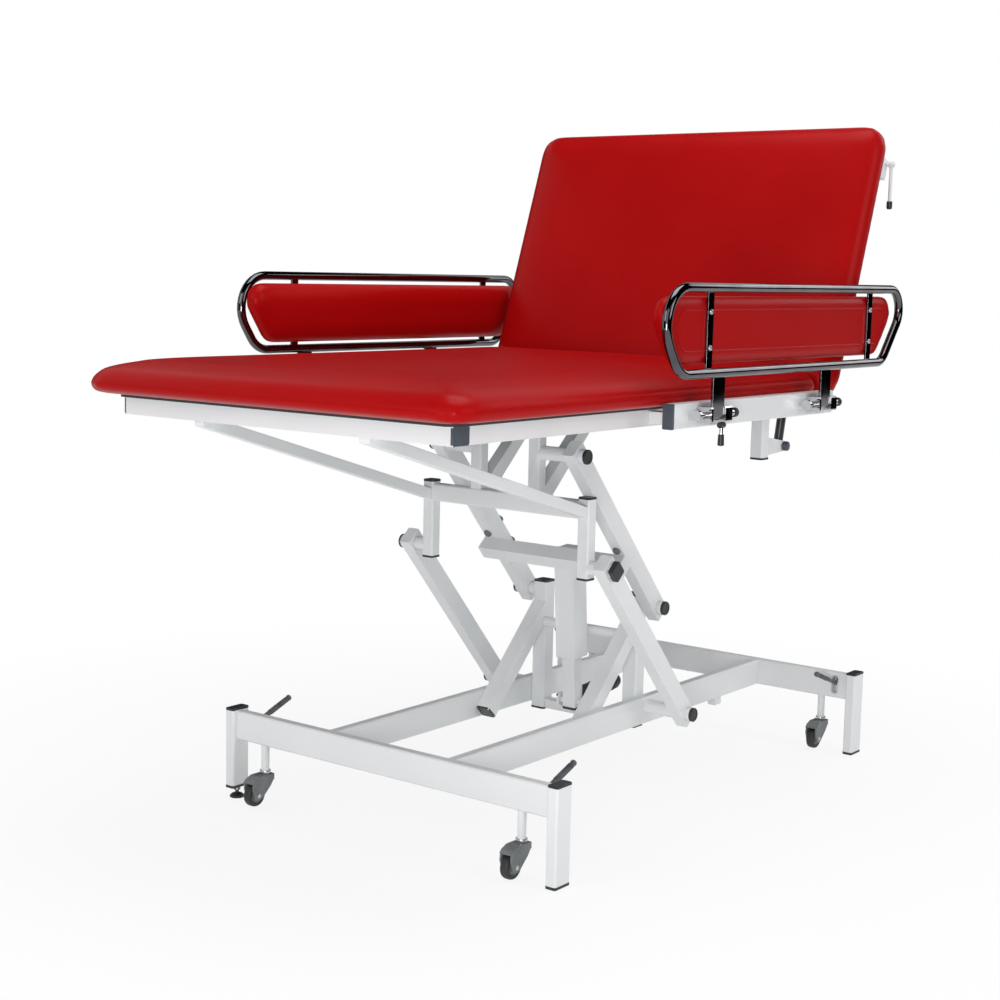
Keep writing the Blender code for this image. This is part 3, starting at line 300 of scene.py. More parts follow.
def copy_of(node):
    """A CAD node's solid with its loose triangles joined into flat faces."""
    bm = bmesh.new()
    bm.from_mesh(frame["nodes"][node].data)
    bmesh.ops.remove_doubles(bm, verts=bm.verts, dist=0.00001)
    bmesh.ops.dissolve_limit(bm, angle_limit=radians(0.6), verts=bm.verts, edges=bm.edges)
    return bm


def dress(node, material, slot, bevel=0.0016, sharp=35):
    """The node's own shape with rounded edges and a finished material."""
    ob = shaped(node + "_skin", copy_of(node), material, sharp, bevel)
    return fit(ob, body_of_node[node], slot, node)


def turned(bm, at, along, profile, count=24):
    """Solid of revolution from (radius, distance) points; a ring where it starts off the axis."""
    axis = Vector(along).normalized()
    side = axis.orthogonal().normalized()
    other = axis.cross(side)
    rows = []
    for radius, distance in profile:
        middle = Vector(at) + distance * axis
        steps = 1 if radius == 0 else count
        rows.append([bm.verts.new(middle + radius * (cos(2 * pi * k / count) * side + sin(2 * pi * k / count) * other))
                     for k in range(steps)])
    pairs = list(zip(rows, rows[1:]))
    if profile[0][0] > 0:
        pairs.append((rows[-1], rows[0]))
    made = []
    for low, high in pairs:
        for k in range(count):
            m = (k + 1) % count
            loop = (low[k % len(low)], low[m % len(low)], high[m % len(high)], high[k % len(high)])
            made.append(bm.faces.new(list(dict.fromkeys(loop))))
    bmesh.ops.recalc_face_normals(bm, faces=made)


def round_cap(bm, at, out, radius, depth=0.0046):
    """Pressed-on cap over a round tube end, with a dished face and a soft rim."""
    lip = 0.0004
    turned(bm, at, out, ((0.0, -depth), (radius + lip, -depth), (radius + lip, 0.0006), (radius - 0.0008, 0.0018),
                         (radius - 0.003, 0.0018), (radius - 0.0042, 0.0007), (0.0, 0.0005)), 32)


def square_cap(bm, at, out, across, half, depth=0.0046, corner=0.003):
    """Pressed-on cap over the end of a rectangular tube, with a soft rim."""
    out = Vector(out).normalized()
    across = Vector(across).normalized()
    third = out.cross(across)
    lip = 0.0004
    rows = []
    for grow, level in ((lip, -depth), (lip, -0.0006), (-0.0004, lip), (-0.0016, lip)):
        a = half[0] + grow
        b = half[1] + grow
        ring = ((a - corner, -b), (a, corner - b), (a, b - corner), (a - corner, b),
                (corner - a, b), (-a, b - corner), (-a, corner - b), (corner - a, -b))
        rows.append([bm.verts.new(Vector(at) + u * across + v * third + level * out) for u, v in ring])
    bm.faces.new(list(reversed(rows[0])))
    bm.faces.new(rows[-1])
    for low, high in zip(rows, rows[1:]):
        for k in range(8):
            m = (k + 1) % 8
            bm.faces.new((low[k], low[m], high[m], high[k]))


for node in ("front_end_frame", "rear_end_frame", "long_rail_near", "long_rail_far",
             "base_post_near", "base_post_far", "drive_cross_member"):
    dress(node, powder_coat, "white_paint")

leg_half = (0.025, 0.0125)
leg_foot = 0.0005
short_leg_foot = 0.0255
post_half = (0.019, 0.019)
pin_radius = 0.016
stay_radius = 0.012
stay = Vector((0.263, 0.0, 0.3455))
stay_end = 0.1682
brace_foot = Vector((0.055, 0.0, 0.1525))
brace_head = Vector((0.2745, 0.0, 0.380))
caps = bmesh.new()
for node in ("front_end_frame", "rear_end_frame"):
    low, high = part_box(node)
    leg_x = (low[0] + high[0]) / 2
    for leg_y in (low[1] + leg_half[1], high[1] - leg_half[1]):
        square_cap(caps, (leg_x, leg_y, high[2]), Z, X, leg_half)
        short = node == "front_end_frame" and leg_y > 0
        square_cap(caps, (leg_x, leg_y, short_leg_foot if short else leg_foot), -Z, X, leg_half, 0.006)
low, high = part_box("long_rail_far")
lower_pin_end = high[1]
post_y = low[1] - 0.0003 - post_half[1]
low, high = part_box("base_post_far")
upper_pin_end = high[1]
post_x = high[0] - post_half[0]
for side in (-1, 1):
    square_cap(caps, (post_x, side * post_y, high[2]), Z, X, post_half)
    square_cap(caps, (post_x, side * post_y, low[2]), -Z, X, post_half)
    square_cap(caps, brace_foot + side * post_y * Y, brace_foot - brace_head, Y, (0.0185, 0.0182))
    round_cap(caps, pivot["lift"] + side * lower_pin_end * Y, side * Y, pin_radius)
    round_cap(caps, pivot["upper_arm_pivot"] + side * upper_pin_end * Y, side * Y, pin_radius)
    round_cap(caps, stay + side * stay_end * Y, side * Y, stay_radius)
fit(shaped("base_caps", caps, cap_plastic), "base", "black_plastic")

# Castors: a ribbed pedal lifts or lowers each stem, and a grey hood swivels under it.
# The pedal comes out of the end frame through a slot with a pressed zinc rim.
# The wheel is a moulded hub with a black tyre, on an axle pin through the hood's cheeks.


def row_tree():
    """Copies of one small object along a straight row, made real with one material."""
    tree = bpy.data.node_groups.new("row", "GeometryNodeTree")
    for label, kind in (("Template", "NodeSocketObject"), ("Count", "NodeSocketInt"), ("Start", "NodeSocketVector"),
                        ("Step", "NodeSocketVector"), ("Material", "NodeSocketMaterial")):
        tree.interface.new_socket(label, in_out="INPUT", socket_type=kind)
    tree.interface.new_socket("Geometry", in_out="OUTPUT", socket_type="NodeSocketGeometry")
    source = tree.nodes.new("NodeGroupInput")
    sink = tree.nodes.new("NodeGroupOutput")
    line = tree.nodes.new("GeometryNodeMeshLine")
    line.mode = "OFFSET"
    template = tree.nodes.new("GeometryNodeObjectInfo")
    copies = tree.nodes.new("GeometryNodeInstanceOnPoints")
    real = tree.nodes.new("GeometryNodeRealizeInstances")
    paint = tree.nodes.new("GeometryNodeSetMaterial")
    tree.links.new(source.outputs["Count"], line.inputs["Count"])
    tree.links.new(source.outputs["Start"], line.inputs["Start Location"])
    tree.links.new(source.outputs["Step"], line.inputs["Offset"])
    tree.links.new(source.outputs["Template"], template.inputs["Object"])
    tree.links.new(line.outputs["Mesh"], copies.inputs["Points"])
    tree.links.new(template.outputs["Geometry"], copies.inputs["Instance"])
    tree.links.new(copies.outputs["Instances"], real.inputs["Geometry"])
    tree.links.new(real.outputs["Geometry"], paint.inputs["Geometry"])
    tree.links.new(source.outputs["Material"], paint.inputs["Material"])
    tree.links.new(paint.outputs["Geometry"], sink.inputs["Geometry"])
    return tree


row_of_copies = row_tree()


def row(name, bm, material, count, start, step):
    """One mesh object of copies of a small shape, drawn at the origin, along a row."""
    template = shaped(name + "_one", bm, material)
    ob = bpy.data.objects.new(name, bpy.data.meshes.new(name))
    scene.collection.objects.link(ob)
    mod = ob.modifiers.new("row", "NODES")
    mod.node_group = row_of_copies
    values = {"Template": template, "Count": count, "Start": tuple(start), "Step": tuple(step), "Material": material}
    for socket in row_of_copies.interface.items_tree:
        if socket.in_out == "INPUT":
            mod[socket.identifier] = values[socket.name]
    bpy.context.view_layer.update()
    mesh = bpy.data.meshes.new_from_object(ob.evaluated_get(bpy.context.evaluated_depsgraph_get()))
    ob.modifiers.clear()
    ob.data = mesh
    mesh.name = name
    bpy.data.objects.remove(template, do_unlink=True)
    return ob


pedal_rubber = finish("ribbed_pedal_rubber", (0.130, 0.142, 0.155), (0.085, 0.094, 0.105), (0.38, 0.5),
                      0.02, 0.0005, 0.2)
castor_grey = finish("grey_castor_plastic", (0.190, 0.205, 0.210), (0.135, 0.148, 0.154), (0.34, 0.46),
                     0.03, 0.0007, 0.12)
tyre_black = finish("black_tyre", (0.026, 0.026, 0.028), (0.017, 0.017, 0.019), (0.50, 0.68), 0.02, 0.0006, 0.25)
zinc = finish("zinc_plate", (0.56, 0.57, 0.58), (0.46, 0.47, 0.48), (0.22, 0.34), 0.02, 0.0004, 0.05, 1.0)
pedal_slope = radians(21.0)
rib_count = 14
rib_pitch = 0.0042
rail_half_width = 0.0125
slot_half = 0.0068
slot_top = 0.194 - slot_half
slot_foot = 0.150 + slot_half
for corner in ("front_near", "front_far", "rear_near", "rear_far"):
    heel = pivot["pedal_" + corner]
    low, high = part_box("castor_pedal_" + corner)
    inward = 1 if heel.x - low[0] < high[0] - heel.x else -1
    along = Vector((inward * cos(pedal_slope), 0.0, sin(pedal_slope)))
    upward = Vector((-inward * sin(pedal_slope), 0.0, cos(pedal_slope)))
    dress("castor_pedal_" + corner, pedal_rubber, "pedal_plastic", 0.0018)
    rib = bmesh.new()
    square_cap(rib, along * 0.0007, along, Y, (0.0061, 0.0046), 0.0016, 0.0018)
    ribs = row("castor_pedal_ribs_" + corner, rib, pedal_rubber, rib_count,
               heel + along * 0.060 + upward * 0.0005, along * rib_pitch)
    fit(ribs, "castor_pedal_" + corner, "pedal_plastic")
    tip = bmesh.new()
    turned(tip, heel + along * 0.1215 + upward * 0.0005, along,
           ((0.0, -0.002), (0.0063, -0.002), (0.0070, 0.001), (0.0064, 0.004), (0.0040, 0.0062), (0.0, 0.0068)))
    fit(shaped("castor_pedal_tip_" + corner, tip, pedal_rubber), "castor_pedal_" + corner, "pedal_plastic")

    low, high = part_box(("front" if "front" in corner else "rear") + "_end_frame")
    slot_face = (low[0] + high[0]) / 2 + inward * rail_half_width
    rim = bmesh.new()
    rings = []
    for grow, level in ((0.0002, -0.0006), (0.0002, 0.0013), (0.0028, 0.0013), (0.0028, -0.0006)):
        reach = slot_half + grow
        ring = []
        for end, begin in ((slot_top, 0.0), (slot_foot, pi)):
            for k in range(13):
                s = begin + pi * k / 12
                ring.append(rim.verts.new((slot_face + inward * level, heel.y + reach * cos(s), end + reach * sin(s))))
        rings.append(ring)
    for a, b in zip(rings, rings[1:] + rings[:1]):
        for k in range(len(a)):
            m = (k + 1) % len(a)
            rim.faces.new((a[k], a[m], b[m], b[k]))
    bmesh.ops.recalc_face_normals(rim, faces=rim.faces)
    fit(shaped("castor_slot_rim_" + corner, rim, zinc), "base", "bright_steel")

    dress("castor_stem_" + corner, powder_coat, "white_paint", 0.0008)
    swivel = pivot["swivel_" + corner]
    collar = bmesh.new()
    turned(collar, swivel, Z, ((0.0091, 0.0014), (0.0121, 0.0014), (0.0124, 0.0022), (0.0124, 0.0066),
                               (0.0119, 0.0078), (0.0091, 0.0082)), 32)
    fit(shaped("castor_collar_" + corner, collar, zinc), "castor_stem_" + corner, "bright_steel")

    dress("castor_fork_" + corner, castor_grey, "grey_plastic", 0.0026)
    axle = pivot["roll_" + corner]
    cheek = 0.0155
    pins = bmesh.new()
    for side in (-1, 1):
        turned(pins, axle + side * cheek * Y, side * Y,
               ((0.0, -0.002), (0.0050, -0.002), (0.0050, 0.0006), (0.0040, 0.0014), (0.0, 0.0016)), 20)
    fit(shaped("castor_axle_" + corner, pins, zinc), "castor_fork_" + corner, "bright_steel")

    tyre = bmesh.new()
    turned(tyre, axle, Y, ((0.0166, -0.0088), (0.0225, -0.0094), (0.0246, -0.0082), (0.0257, -0.0055),
                           (0.0260, -0.0022), (0.0256, 0.0), (0.0260, 0.0022), (0.0257, 0.0055),
                           (0.0246, 0.0082), (0.0225, 0.0094), (0.0166, 0.0088)), 48)
    fit(shaped("castor_tyre_" + corner, tyre, tyre_black, 50), "castor_wheel_" + corner, "tyre_rubber",
        "castor_wheel_" + corner)
    hub = bmesh.new()
    turned(hub, axle, Y, ((0.0046, -0.0094), (0.0080, -0.0098), (0.0088, -0.0074), (0.0146, -0.0070), (0.0165, -0.0090),
                          (0.0165, 0.0090), (0.0146, 0.0070), (0.0088, 0.0074), (0.0080, 0.0098), (0.0046, 0.0094)), 40)
    fit(shaped("castor_hub_" + corner, hub, castor_grey), "castor_wheel_" + corner, "grey_plastic")

# Levelling foot: a black moulded pad on a threaded stud, locked with a zinc nut.
# It stands under the short leg at the far front corner.
dress("levelling_foot", cap_plastic, "black_plastic", 0.0007)
low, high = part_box("levelling_foot")
nut = bmesh.new()
turned(nut, ((low[0] + high[0]) / 2, (low[1] + high[1]) / 2, 0.0), Z,
       ((0.0, 0.0172), (0.0082, 0.0172), (0.0088, 0.0180), (0.0088, 0.0230), (0.0082, 0.0237), (0.0, 0.0237)), 6)
fit(shaped("levelling_nut", nut, zinc, 25), "levelling_foot", "bright_steel")

# Lift arms: two pairs of rectangular tube that carry the table on round pivot pins.
# Their ends are closed with welded plates under the same white coat.
# A square cross tube joins the upper pair and is held with bolts under grey domed caps.
arm_half = (0.0225, 0.015)
tube_along = 0.192
tube_below = 0.0408
arm_over = 0.024
tube_half = (0.018, 0.018)
arm_run = (pivot["carriage_pivot"] - pivot["lift"]).normalized()
arm_side = Y.cross(arm_run)
arm_span = (pivot["carriage_pivot"] - pivot["lift"]).length
for level, joint in (("lower", "lift"), ("upper", "upper_arm_pivot")):
    caps = bmesh.new()
    for side in ("near", "far"):
        node = level + "_arm_" + side
        dress(node, powder_coat, "white_paint", 0.0030)
        low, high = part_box(node)
        middle = pivot[joint] + (low[1] + high[1]) / 2 * Y
        square_cap(caps, middle - arm_over * arm_run, -arm_run, arm_side, arm_half)
        square_cap(caps, middle + (arm_span + arm_over) * arm_run, arm_run, arm_side, arm_half)
    fit(shaped(level + "_arm_ends", caps, powder_coat), level + "_arms", "white_paint")
dress("lift_cross_tube", powder_coat, "white_paint", 0.0024)
low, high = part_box("lift_cross_tube")
tube_at = pivot["upper_arm_pivot"] + tube_along * arm_run - tube_below * arm_side
caps = bmesh.new()
for side in (-1, 1):
    square_cap(caps, tube_at + side * high[1] * Y, side * Y, arm_run, tube_half, 0.003, 0.0024)
fit(shaped("lift_tube_ends", caps, powder_coat), "upper_arms", "white_paint")
dome_grey = finish("grey_dome_plastic", (0.16, 0.175, 0.19), (0.12, 0.13, 0.145), (0.35, 0.48), 0.03, 0.0006, 0.08)
bolts = ((-1, 0.225, 0.0), (1, 0.225, 0.007), (1, 0.150, 0.007))
dome = ((0.0, -0.001), (0.0095, -0.001), (0.0095, 0.0035), (0.0078, 0.0062), (0.0042, 0.0078), (0.0, 0.0082))
domes = bmesh.new()
for side, sign in (("near", -1), ("far", 1)):
    low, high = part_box("upper_arm_" + side)
    for face, bolt_out, inside in bolts:
        bolt_at = pivot["upper_arm_pivot"] + bolt_out * arm_run + ((low[1] + high[1]) / 2 - sign * inside) * Y
        turned(domes, bolt_at + face * arm_half[0] * arm_side, face * arm_side, dome, 24)
fit(shaped("lift_bolt_domes", domes, dome_grey), "upper_arms", "grey_plastic")

# Lift drive: a column of two square tubes that slide into each other, with a motor at its foot.
# The white sleeve is pressed from sheet with raised edges; the motor housing is black plastic.
sleeve = copy_of("drive_sleeve")
front = max((f for f in sleeve.faces if f.normal.x < -0.9), key=lambda f: f.calc_area())
bmesh.ops.inset_region(sleeve, faces=[front], thickness=0.007, depth=0.0)
bmesh.ops.inset_region(sleeve, faces=[front], thickness=0.0015, depth=-0.0016)
fit(shaped("drive_sleeve_skin", sleeve, powder_coat, 30, 0.0010), "drive_sleeve", "white_paint", "drive_sleeve")
dress("drive_tube", powder_coat, "white_paint", 0.0010)
column = (pivot["drive_head"] - pivot["drive_foot"]).normalized()
cap = bmesh.new()
inner_half = (0.018, 0.018)
inner_below = 0.016
square_cap(cap, pivot["drive_foot"] - inner_below * column, -column, Y, inner_half, 0.006, 0.002)
fit(shaped("drive_tube_cap", cap, cap_plastic), "drive_tube", "black_plastic")
motor_black = finish("black_motor_plastic", (0.022, 0.023, 0.025), (0.014, 0.014, 0.016), (0.42, 0.55),
                     0.05, 0.0008, 0.2)
dress("drive_motor", motor_black, "black_plastic", 0.0016)
motor_run = Y.cross(column)
rib = bmesh.new()
turned(rib, (0, 0, 0), motor_run, ((0.0196, -0.0011), (0.0211, -0.0008), (0.0211, 0.0008), (0.0196, 0.0011)), 32)
ribs = row("drive_motor_ribs", rib, motor_black, 12, pivot["drive_foot"] + 0.007 * column + 0.085 * motor_run,
           motor_run * 0.0068)
fit(ribs, "drive_tube", "black_plastic")

# Carriage: a yoke on the lower arms with diagonal bars, hanging posts with struts and the seat frame.
# All of it is white tube, with black caps on the posts and pins and slate ones on the frame.
for node in ("carriage_yoke", "diagonal_bar_near", "diagonal_bar_far", "hanging_post_near", "hanging_post_far",
             "seat_frame", "accessory_rail_near", "accessory_rail_far", "rear_mount"):
    dress(node, powder_coat, "white_paint")
yoke_half = (0.015, 0.015)
yoke_y = 0.2185
mount_half = (0.0165, 0.0165)
upper_top = pivot["upper_arm_pivot"] + pivot["carriage_pivot"] - pivot["lift"]
caps = bmesh.new()
low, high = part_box("carriage_yoke")
for side in (-1, 1):
    square_cap(caps, (pivot["carriage_pivot"].x, side * yoke_y, high[2]), Z, X, yoke_half)
    square_cap(caps, (pivot["carriage_pivot"].x, side * yoke_y, low[2]), -Z, X, yoke_half)
    pin_face = pivot["carriage_pivot"] + side * lower_pin_end * Y
    if side < 0:
        square_cap(caps, pin_face - 0.0006 * Y, -Y, arm_run, (0.0168, 0.0168), 0.012)
    else:
        round_cap(caps, pin_face, Y, pin_radius)
    round_cap(caps, upper_top + side * upper_pin_end * Y, side * Y, pin_radius)
low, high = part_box("rear_mount")
square_cap(caps, (low[0] + mount_half[0], (low[1] + high[1]) / 2, low[2]), -Z, X, mount_half)
fit(shaped("carriage_caps", caps, cap_plastic), "carriage", "black_plastic")
slate_cap = finish("slate_cap_plastic", (0.060, 0.075, 0.098), (0.045, 0.058, 0.078), (0.34, 0.46), 0.05, 0.0006, 0.08)
front_half = (0.024, 0.01775)
rail_half = (0.0125, 0.0255)
caps = bmesh.new()
low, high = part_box("seat_frame")
for side in (-1, 1):
    square_cap(caps, (low[0] + front_half[0], side * high[1], low[2] + front_half[1]), side * Y, X, front_half, 0.004)
for side in ("near", "far"):
    low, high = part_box("accessory_rail_" + side)
    rail_y = low[1] + rail_half[0] if side == "near" else high[1] - rail_half[0]
    square_cap(caps, (low[0], rail_y, low[2] + rail_half[1]), -X, Y, rail_half, 0.004, 0.002)
fit(shaped("frame_caps", caps, slate_cap), "carriage", "pedal_plastic")

# Seat: a foam block on a plywood board, covered in glossy red vinyl pulled tight under the board.
# The cover rolls over the edges without piping and stands a little full over the foam.


def lining_cloth(name):
    """Black woven lining stapled under a board: two crossed sets of threads as colour and height."""
    mat = bpy.data.materials.new(name)
    mat.use_nodes = True
    tree = mat.node_tree
    bsdf = tree.nodes["Principled BSDF"]
    bsdf.inputs["Roughness"].default_value = 0.9
    bsdf.inputs["Sheen Weight"].default_value = 0.15
    where = tree.nodes.new("ShaderNodeTexCoord")
    threads = []
    for direction in ("X", "Y"):
        wave = tree.nodes.new("ShaderNodeTexWave")
        wave.bands_direction = direction
        wave.inputs["Scale"].default_value = 260.0
        wave.inputs["Distortion"].default_value = 0.6
        tree.links.new(where.outputs["Object"], wave.inputs["Vector"])
        threads.append(wave.outputs["Fac"])
    weave = tree.nodes.new("ShaderNodeMath")
    weave.operation = "MAXIMUM"
    tree.links.new(threads[0], weave.inputs[0])
    tree.links.new(threads[1], weave.inputs[1])
    ramp = tree.nodes.new("ShaderNodeValToRGB")
    ramp.color_ramp.elements[0].color = (0.010, 0.010, 0.011, 1)
    ramp.color_ramp.elements[1].color = (0.040, 0.040, 0.042, 1)
    tree.links.new(weave.outputs[0], ramp.inputs["Fac"])
    tree.links.new(ramp.outputs["Color"], bsdf.inputs["Base Color"])
    relief = tree.nodes.new("ShaderNodeBump")
    relief.inputs["Strength"].default_value = 0.3
    relief.inputs["Distance"].default_value = 0.0004
    tree.links.new(weave.outputs[0], relief.inputs["Height"])
    tree.links.new(relief.outputs["Normal"], bsdf.inputs["Normal"])
    return mat


def red_vinyl(name):
    """Glossy upholstery vinyl: fine pebble grain over slow unevenness."""
    mat = finish(name, (0.40, 0.0030, 0.0036), (0.37, 0.0026, 0.0031), (0.30, 0.38), 0.35, 0.0015, 0.06)
    tree = mat.node_tree
    bsdf = tree.nodes["Principled BSDF"]
    bsdf.inputs["Specular IOR Level"].default_value = 0.08
    where = tree.nodes.new("ShaderNodeTexCoord")
    pebble = tree.nodes.new("ShaderNodeTexVoronoi")
    pebble.feature = "SMOOTH_F1"
    pebble.inputs["Scale"].default_value = 620.0
    pebble.inputs["Smoothness"].default_value = 0.7
    grain = tree.nodes.new("ShaderNodeBump")
    grain.inputs["Strength"].default_value = 0.10
    grain.inputs["Distance"].default_value = 0.0003
    soft = next(n for n in tree.nodes if n.type == "BUMP" and n != grain)
    tree.links.new(where.outputs["Object"], pebble.inputs["Vector"])
    tree.links.new(pebble.outputs["Distance"], grain.inputs["Height"])
    tree.links.new(soft.outputs["Normal"], grain.inputs["Normal"])
    tree.links.new(grain.outputs["Normal"], bsdf.inputs["Normal"])
    return mat


def plain_copy(ob, name):
    """The object's evaluated mesh as a new object without modifiers."""
    mesh = bpy.data.meshes.new_from_object(ob.evaluated_get(bpy.context.evaluated_depsgraph_get()))
    mesh.name = name
    new = bpy.data.objects.new(name, mesh)
    scene.collection.objects.link(new)
    bpy.data.objects.remove(ob, do_unlink=True)
    return new


held_band = 0.006
cloth_frames = 20
ease_rounds = 16


def upholstered(name, node, under, voxel, full, swell):
    """Vinyl over foam: the CAD pad remeshed, blown up by cloth pressure and held underneath."""
    block = bmesh.new()
    block.from_mesh(frame["nodes"][node].data)
    bmesh.ops.remove_doubles(block, verts=block.verts, dist=0.00001)
    start = shaped(name + "_block", block, vinyl)
    remesh = start.modifiers.new("remesh", "REMESH")
    remesh.mode = "VOXEL"
    remesh.voxel_size = voxel
    ease = start.modifiers.new("ease", "SMOOTH")
    ease.factor = 0.5
    ease.iterations = 6
    pad = plain_copy(start, name)
    mesh = pad.data
    depth = [v.co.dot(under) for v in mesh.vertices]
    floor_level = max(depth)
    held = [k for k, d in enumerate(depth) if d > floor_level - held_band]
    outward = [v.normal.copy() for v in mesh.vertices]
    for k in set(range(len(depth))) - set(held):
        mesh.vertices[k].co += full * outward[k]
    at_rest = [v.co.copy() for v in mesh.vertices]
    group = pad.vertex_groups.new(name="held")
    group.add(held, 1.0, "REPLACE")
    cloth = pad.modifiers.new("cloth", "CLOTH")
    cloth.settings.use_pressure = True
    cloth.settings.uniform_pressure_force = 4.0
    cloth.settings.vertex_group_mass = "held"
    cloth.settings.quality = 4
    cloth.settings.mass = 0.4
    cloth.settings.tension_stiffness = 25.0
    cloth.settings.compression_stiffness = 25.0
    cloth.settings.bending_stiffness = 2.0
    cloth.settings.effector_weights.gravity = 0.0
    cloth.collision_settings.use_collision = False
    cloth.point_cache.frame_end = cloth_frames
    for tick in range(1, cloth_frames + 1):
        scene.frame_set(tick)
    swollen = pad.evaluated_get(bpy.context.evaluated_depsgraph_get()).data
    moved = [v.co.copy() for v in swollen.vertices]
    pad.modifiers.remove(cloth)
    scene.frame_set(1)
    rise = [min(max((now - was).dot(n), 0.0), swell) for was, now, n in zip(at_rest, moved, outward)]
    pairs = [tuple(e.vertices) for e in mesh.edges]
    for turn in range(ease_rounds):
        total = list(rise)
        near = [1] * len(rise)
        for a, b in pairs:
            total[a] += rise[b]
            total[b] += rise[a]
            near[a] += 1
            near[b] += 1
        rise = [t / n for t, n in zip(total, near)]
    for k in set(range(len(rise))) - set(held):
        mesh.vertices[k].co = at_rest[k] + rise[k] * outward[k]
    pad.vertex_groups.clear()
    mesh.shade_smooth()
    mesh.materials.clear()
    mesh.materials.append(vinyl)
    round_off = pad.modifiers.new("round_off", "SUBSURF")
    round_off.levels = 1
    round_off.render_levels = 1
    return pad


vinyl = red_vinyl("glossy_red_vinyl")
lining = lining_cloth("black_lining_cloth")
dress("seat_board", lining, "board", 0.0008)
seat = upholstered("seat_cover", "seat_cushion", -Z, 0.014, 0.0025, 0.005)
fit(seat, "carriage", "red_vinyl", "seat_cushion")

# Backrest: the same build as the seat, on its own tube frame with hinge pins at the lower end.
# A short arm on the near side carries the release lever.
dress("backrest_frame", powder_coat, "white_paint", 0.0012)
dress("backrest_board", lining, "board", 0.0008)
lean = radians(70.7)
behind = Vector((sin(lean), 0.0, -cos(lean)))
back = upholstered("backrest_cover", "backrest_cushion", behind, 0.011, 0.0025, 0.005)
fit(back, "backrest", "red_vinyl", "backrest_cushion")
hinge = pivot["backrest_hinge"]
upward = Vector((cos(lean), 0.0, sin(lean)))
tube_half = (0.0125, 0.0125)
tube_reach = 0.595
tube_y = 0.365
tube_top = hinge + tube_reach * upward + 0.003 * behind
caps = bmesh.new()
for side in (-1, 1):
    square_cap(caps, tube_top + side * tube_y * Y, upward, Y, tube_half, 0.0046, 0.002)
fit(shaped("backrest_caps", caps, cap_plastic), "backrest", "black_plastic")

# Gas spring: a black painted cylinder and a bright rod between the rear mount and the backrest.
# A grey knob ends the lower pin, and the whole spring swings on its two eyes.
spring_black = finish("black_spring_paint", (0.020, 0.021, 0.023), (0.013, 0.014, 0.015), (0.28, 0.36),
                      0.06, 0.0008, 0.05)
dress("gas_cylinder", spring_black, "black_paint", 0.0008)
dress("gas_rod", zinc, "bright_steel", 0.0006)
knob = bmesh.new()
turned(knob, pivot["gas_foot"] - 0.0176 * Y, -Y,
       ((0.0, 0.0), (0.0112, 0.0), (0.0116, 0.0015), (0.0116, 0.0085), (0.0100, 0.0108), (0.0, 0.0116)), 18)
fit(shaped("gas_knob", knob, slate_cap), "gas_cylinder", "grey_plastic")

# Release lever: a white rod with an eye on the backrest's arm, ending in a black rubber tip.
# It hangs behind the top corner of the backrest.
dress("release_lever", powder_coat, "white_paint", 0.0006)
hang = pivot["release_swing"]
tip = bmesh.new()
turned(tip, hang, -Z, ((0.0, 0.0865), (0.0058, 0.0865), (0.0069, 0.0878), (0.0069, 0.1020), (0.0050, 0.1058),
                       (0.0, 0.1064)), 24)
fit(shaped("release_tip", tip, cap_plastic), "release_lever", "black_plastic")

# Clamps: chrome blocks on the accessory rails with the round pins that the side rails fold on.
# The front one on each side is tightened with a small hanging lever.
chrome = finish("chrome_plate", (0.42, 0.42, 0.43), (0.34, 0.34, 0.35), (0.05, 0.09), 0.05, 0.0005, 0.01, 1.0)
for side in ("near", "far"):
    pin_line = pivot["side_rail_" + side + "_fold"]
    for place in ("front", "rear"):
        node = "clamp_" + place + "_" + side
        dress(node, chrome, "chrome", 0.0016)
        low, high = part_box(node)
        knob = bmesh.new()
        turned(knob, (high[0], pin_line.y, pin_line.z), X,
               ((0.0, -0.014), (0.0090, -0.014), (0.0100, -0.012), (0.0100, -0.002), (0.0085, 0.0), (0.0, 0.0006)), 24)
        fit(shaped(node + "_knob", knob, cap_plastic), "carriage", "black_plastic")
    node = "clamp_lever_" + side
    dress(node, cap_plastic, "black_plastic", 0.0008)
    eye = pivot[node + "_swing"]
    rod = bmesh.new()
    turned(rod, eye, -Z, ((0.0, 0.0055), (0.0039, 0.0055), (0.0039, 0.0195), (0.0, 0.0195)), 20)
    fit(shaped(node + "_rod", rod, chrome), node, "chrome")

# Side rails: a chrome tube bent into a closed loop, with flat straps behind the bolster.
# Two flat legs with rolled eyes hold the loop on the clamp pins; the straps are bolted through.


def rounded(corners, radii, steps):
    """Polygon with an arc of its own radius at each corner."""
    points = []
    for k, corner in enumerate(corners):
        radius = radii[k]
        p = Vector(corner)
        a = (Vector(corners[k - 1]) - p).normalized()
        b = (Vector(corners[(k + 1) % len(corners)]) - p).normalized()
        half = a.angle(b) / 2
        middle = p + (a + b).normalized() * radius / sin(half)
        first = p + a * radius / tan(half) - middle
        last = p + b * radius / tan(half) - middle
        begin = atan2(first.y, first.x)
        turn = (atan2(last.y, last.x) - begin + pi) % (2 * pi) - pi
        for i in range(steps + 1):
            s = begin + turn * i / steps
            points.append(middle + radius * Vector((cos(s), sin(s))))
    return points


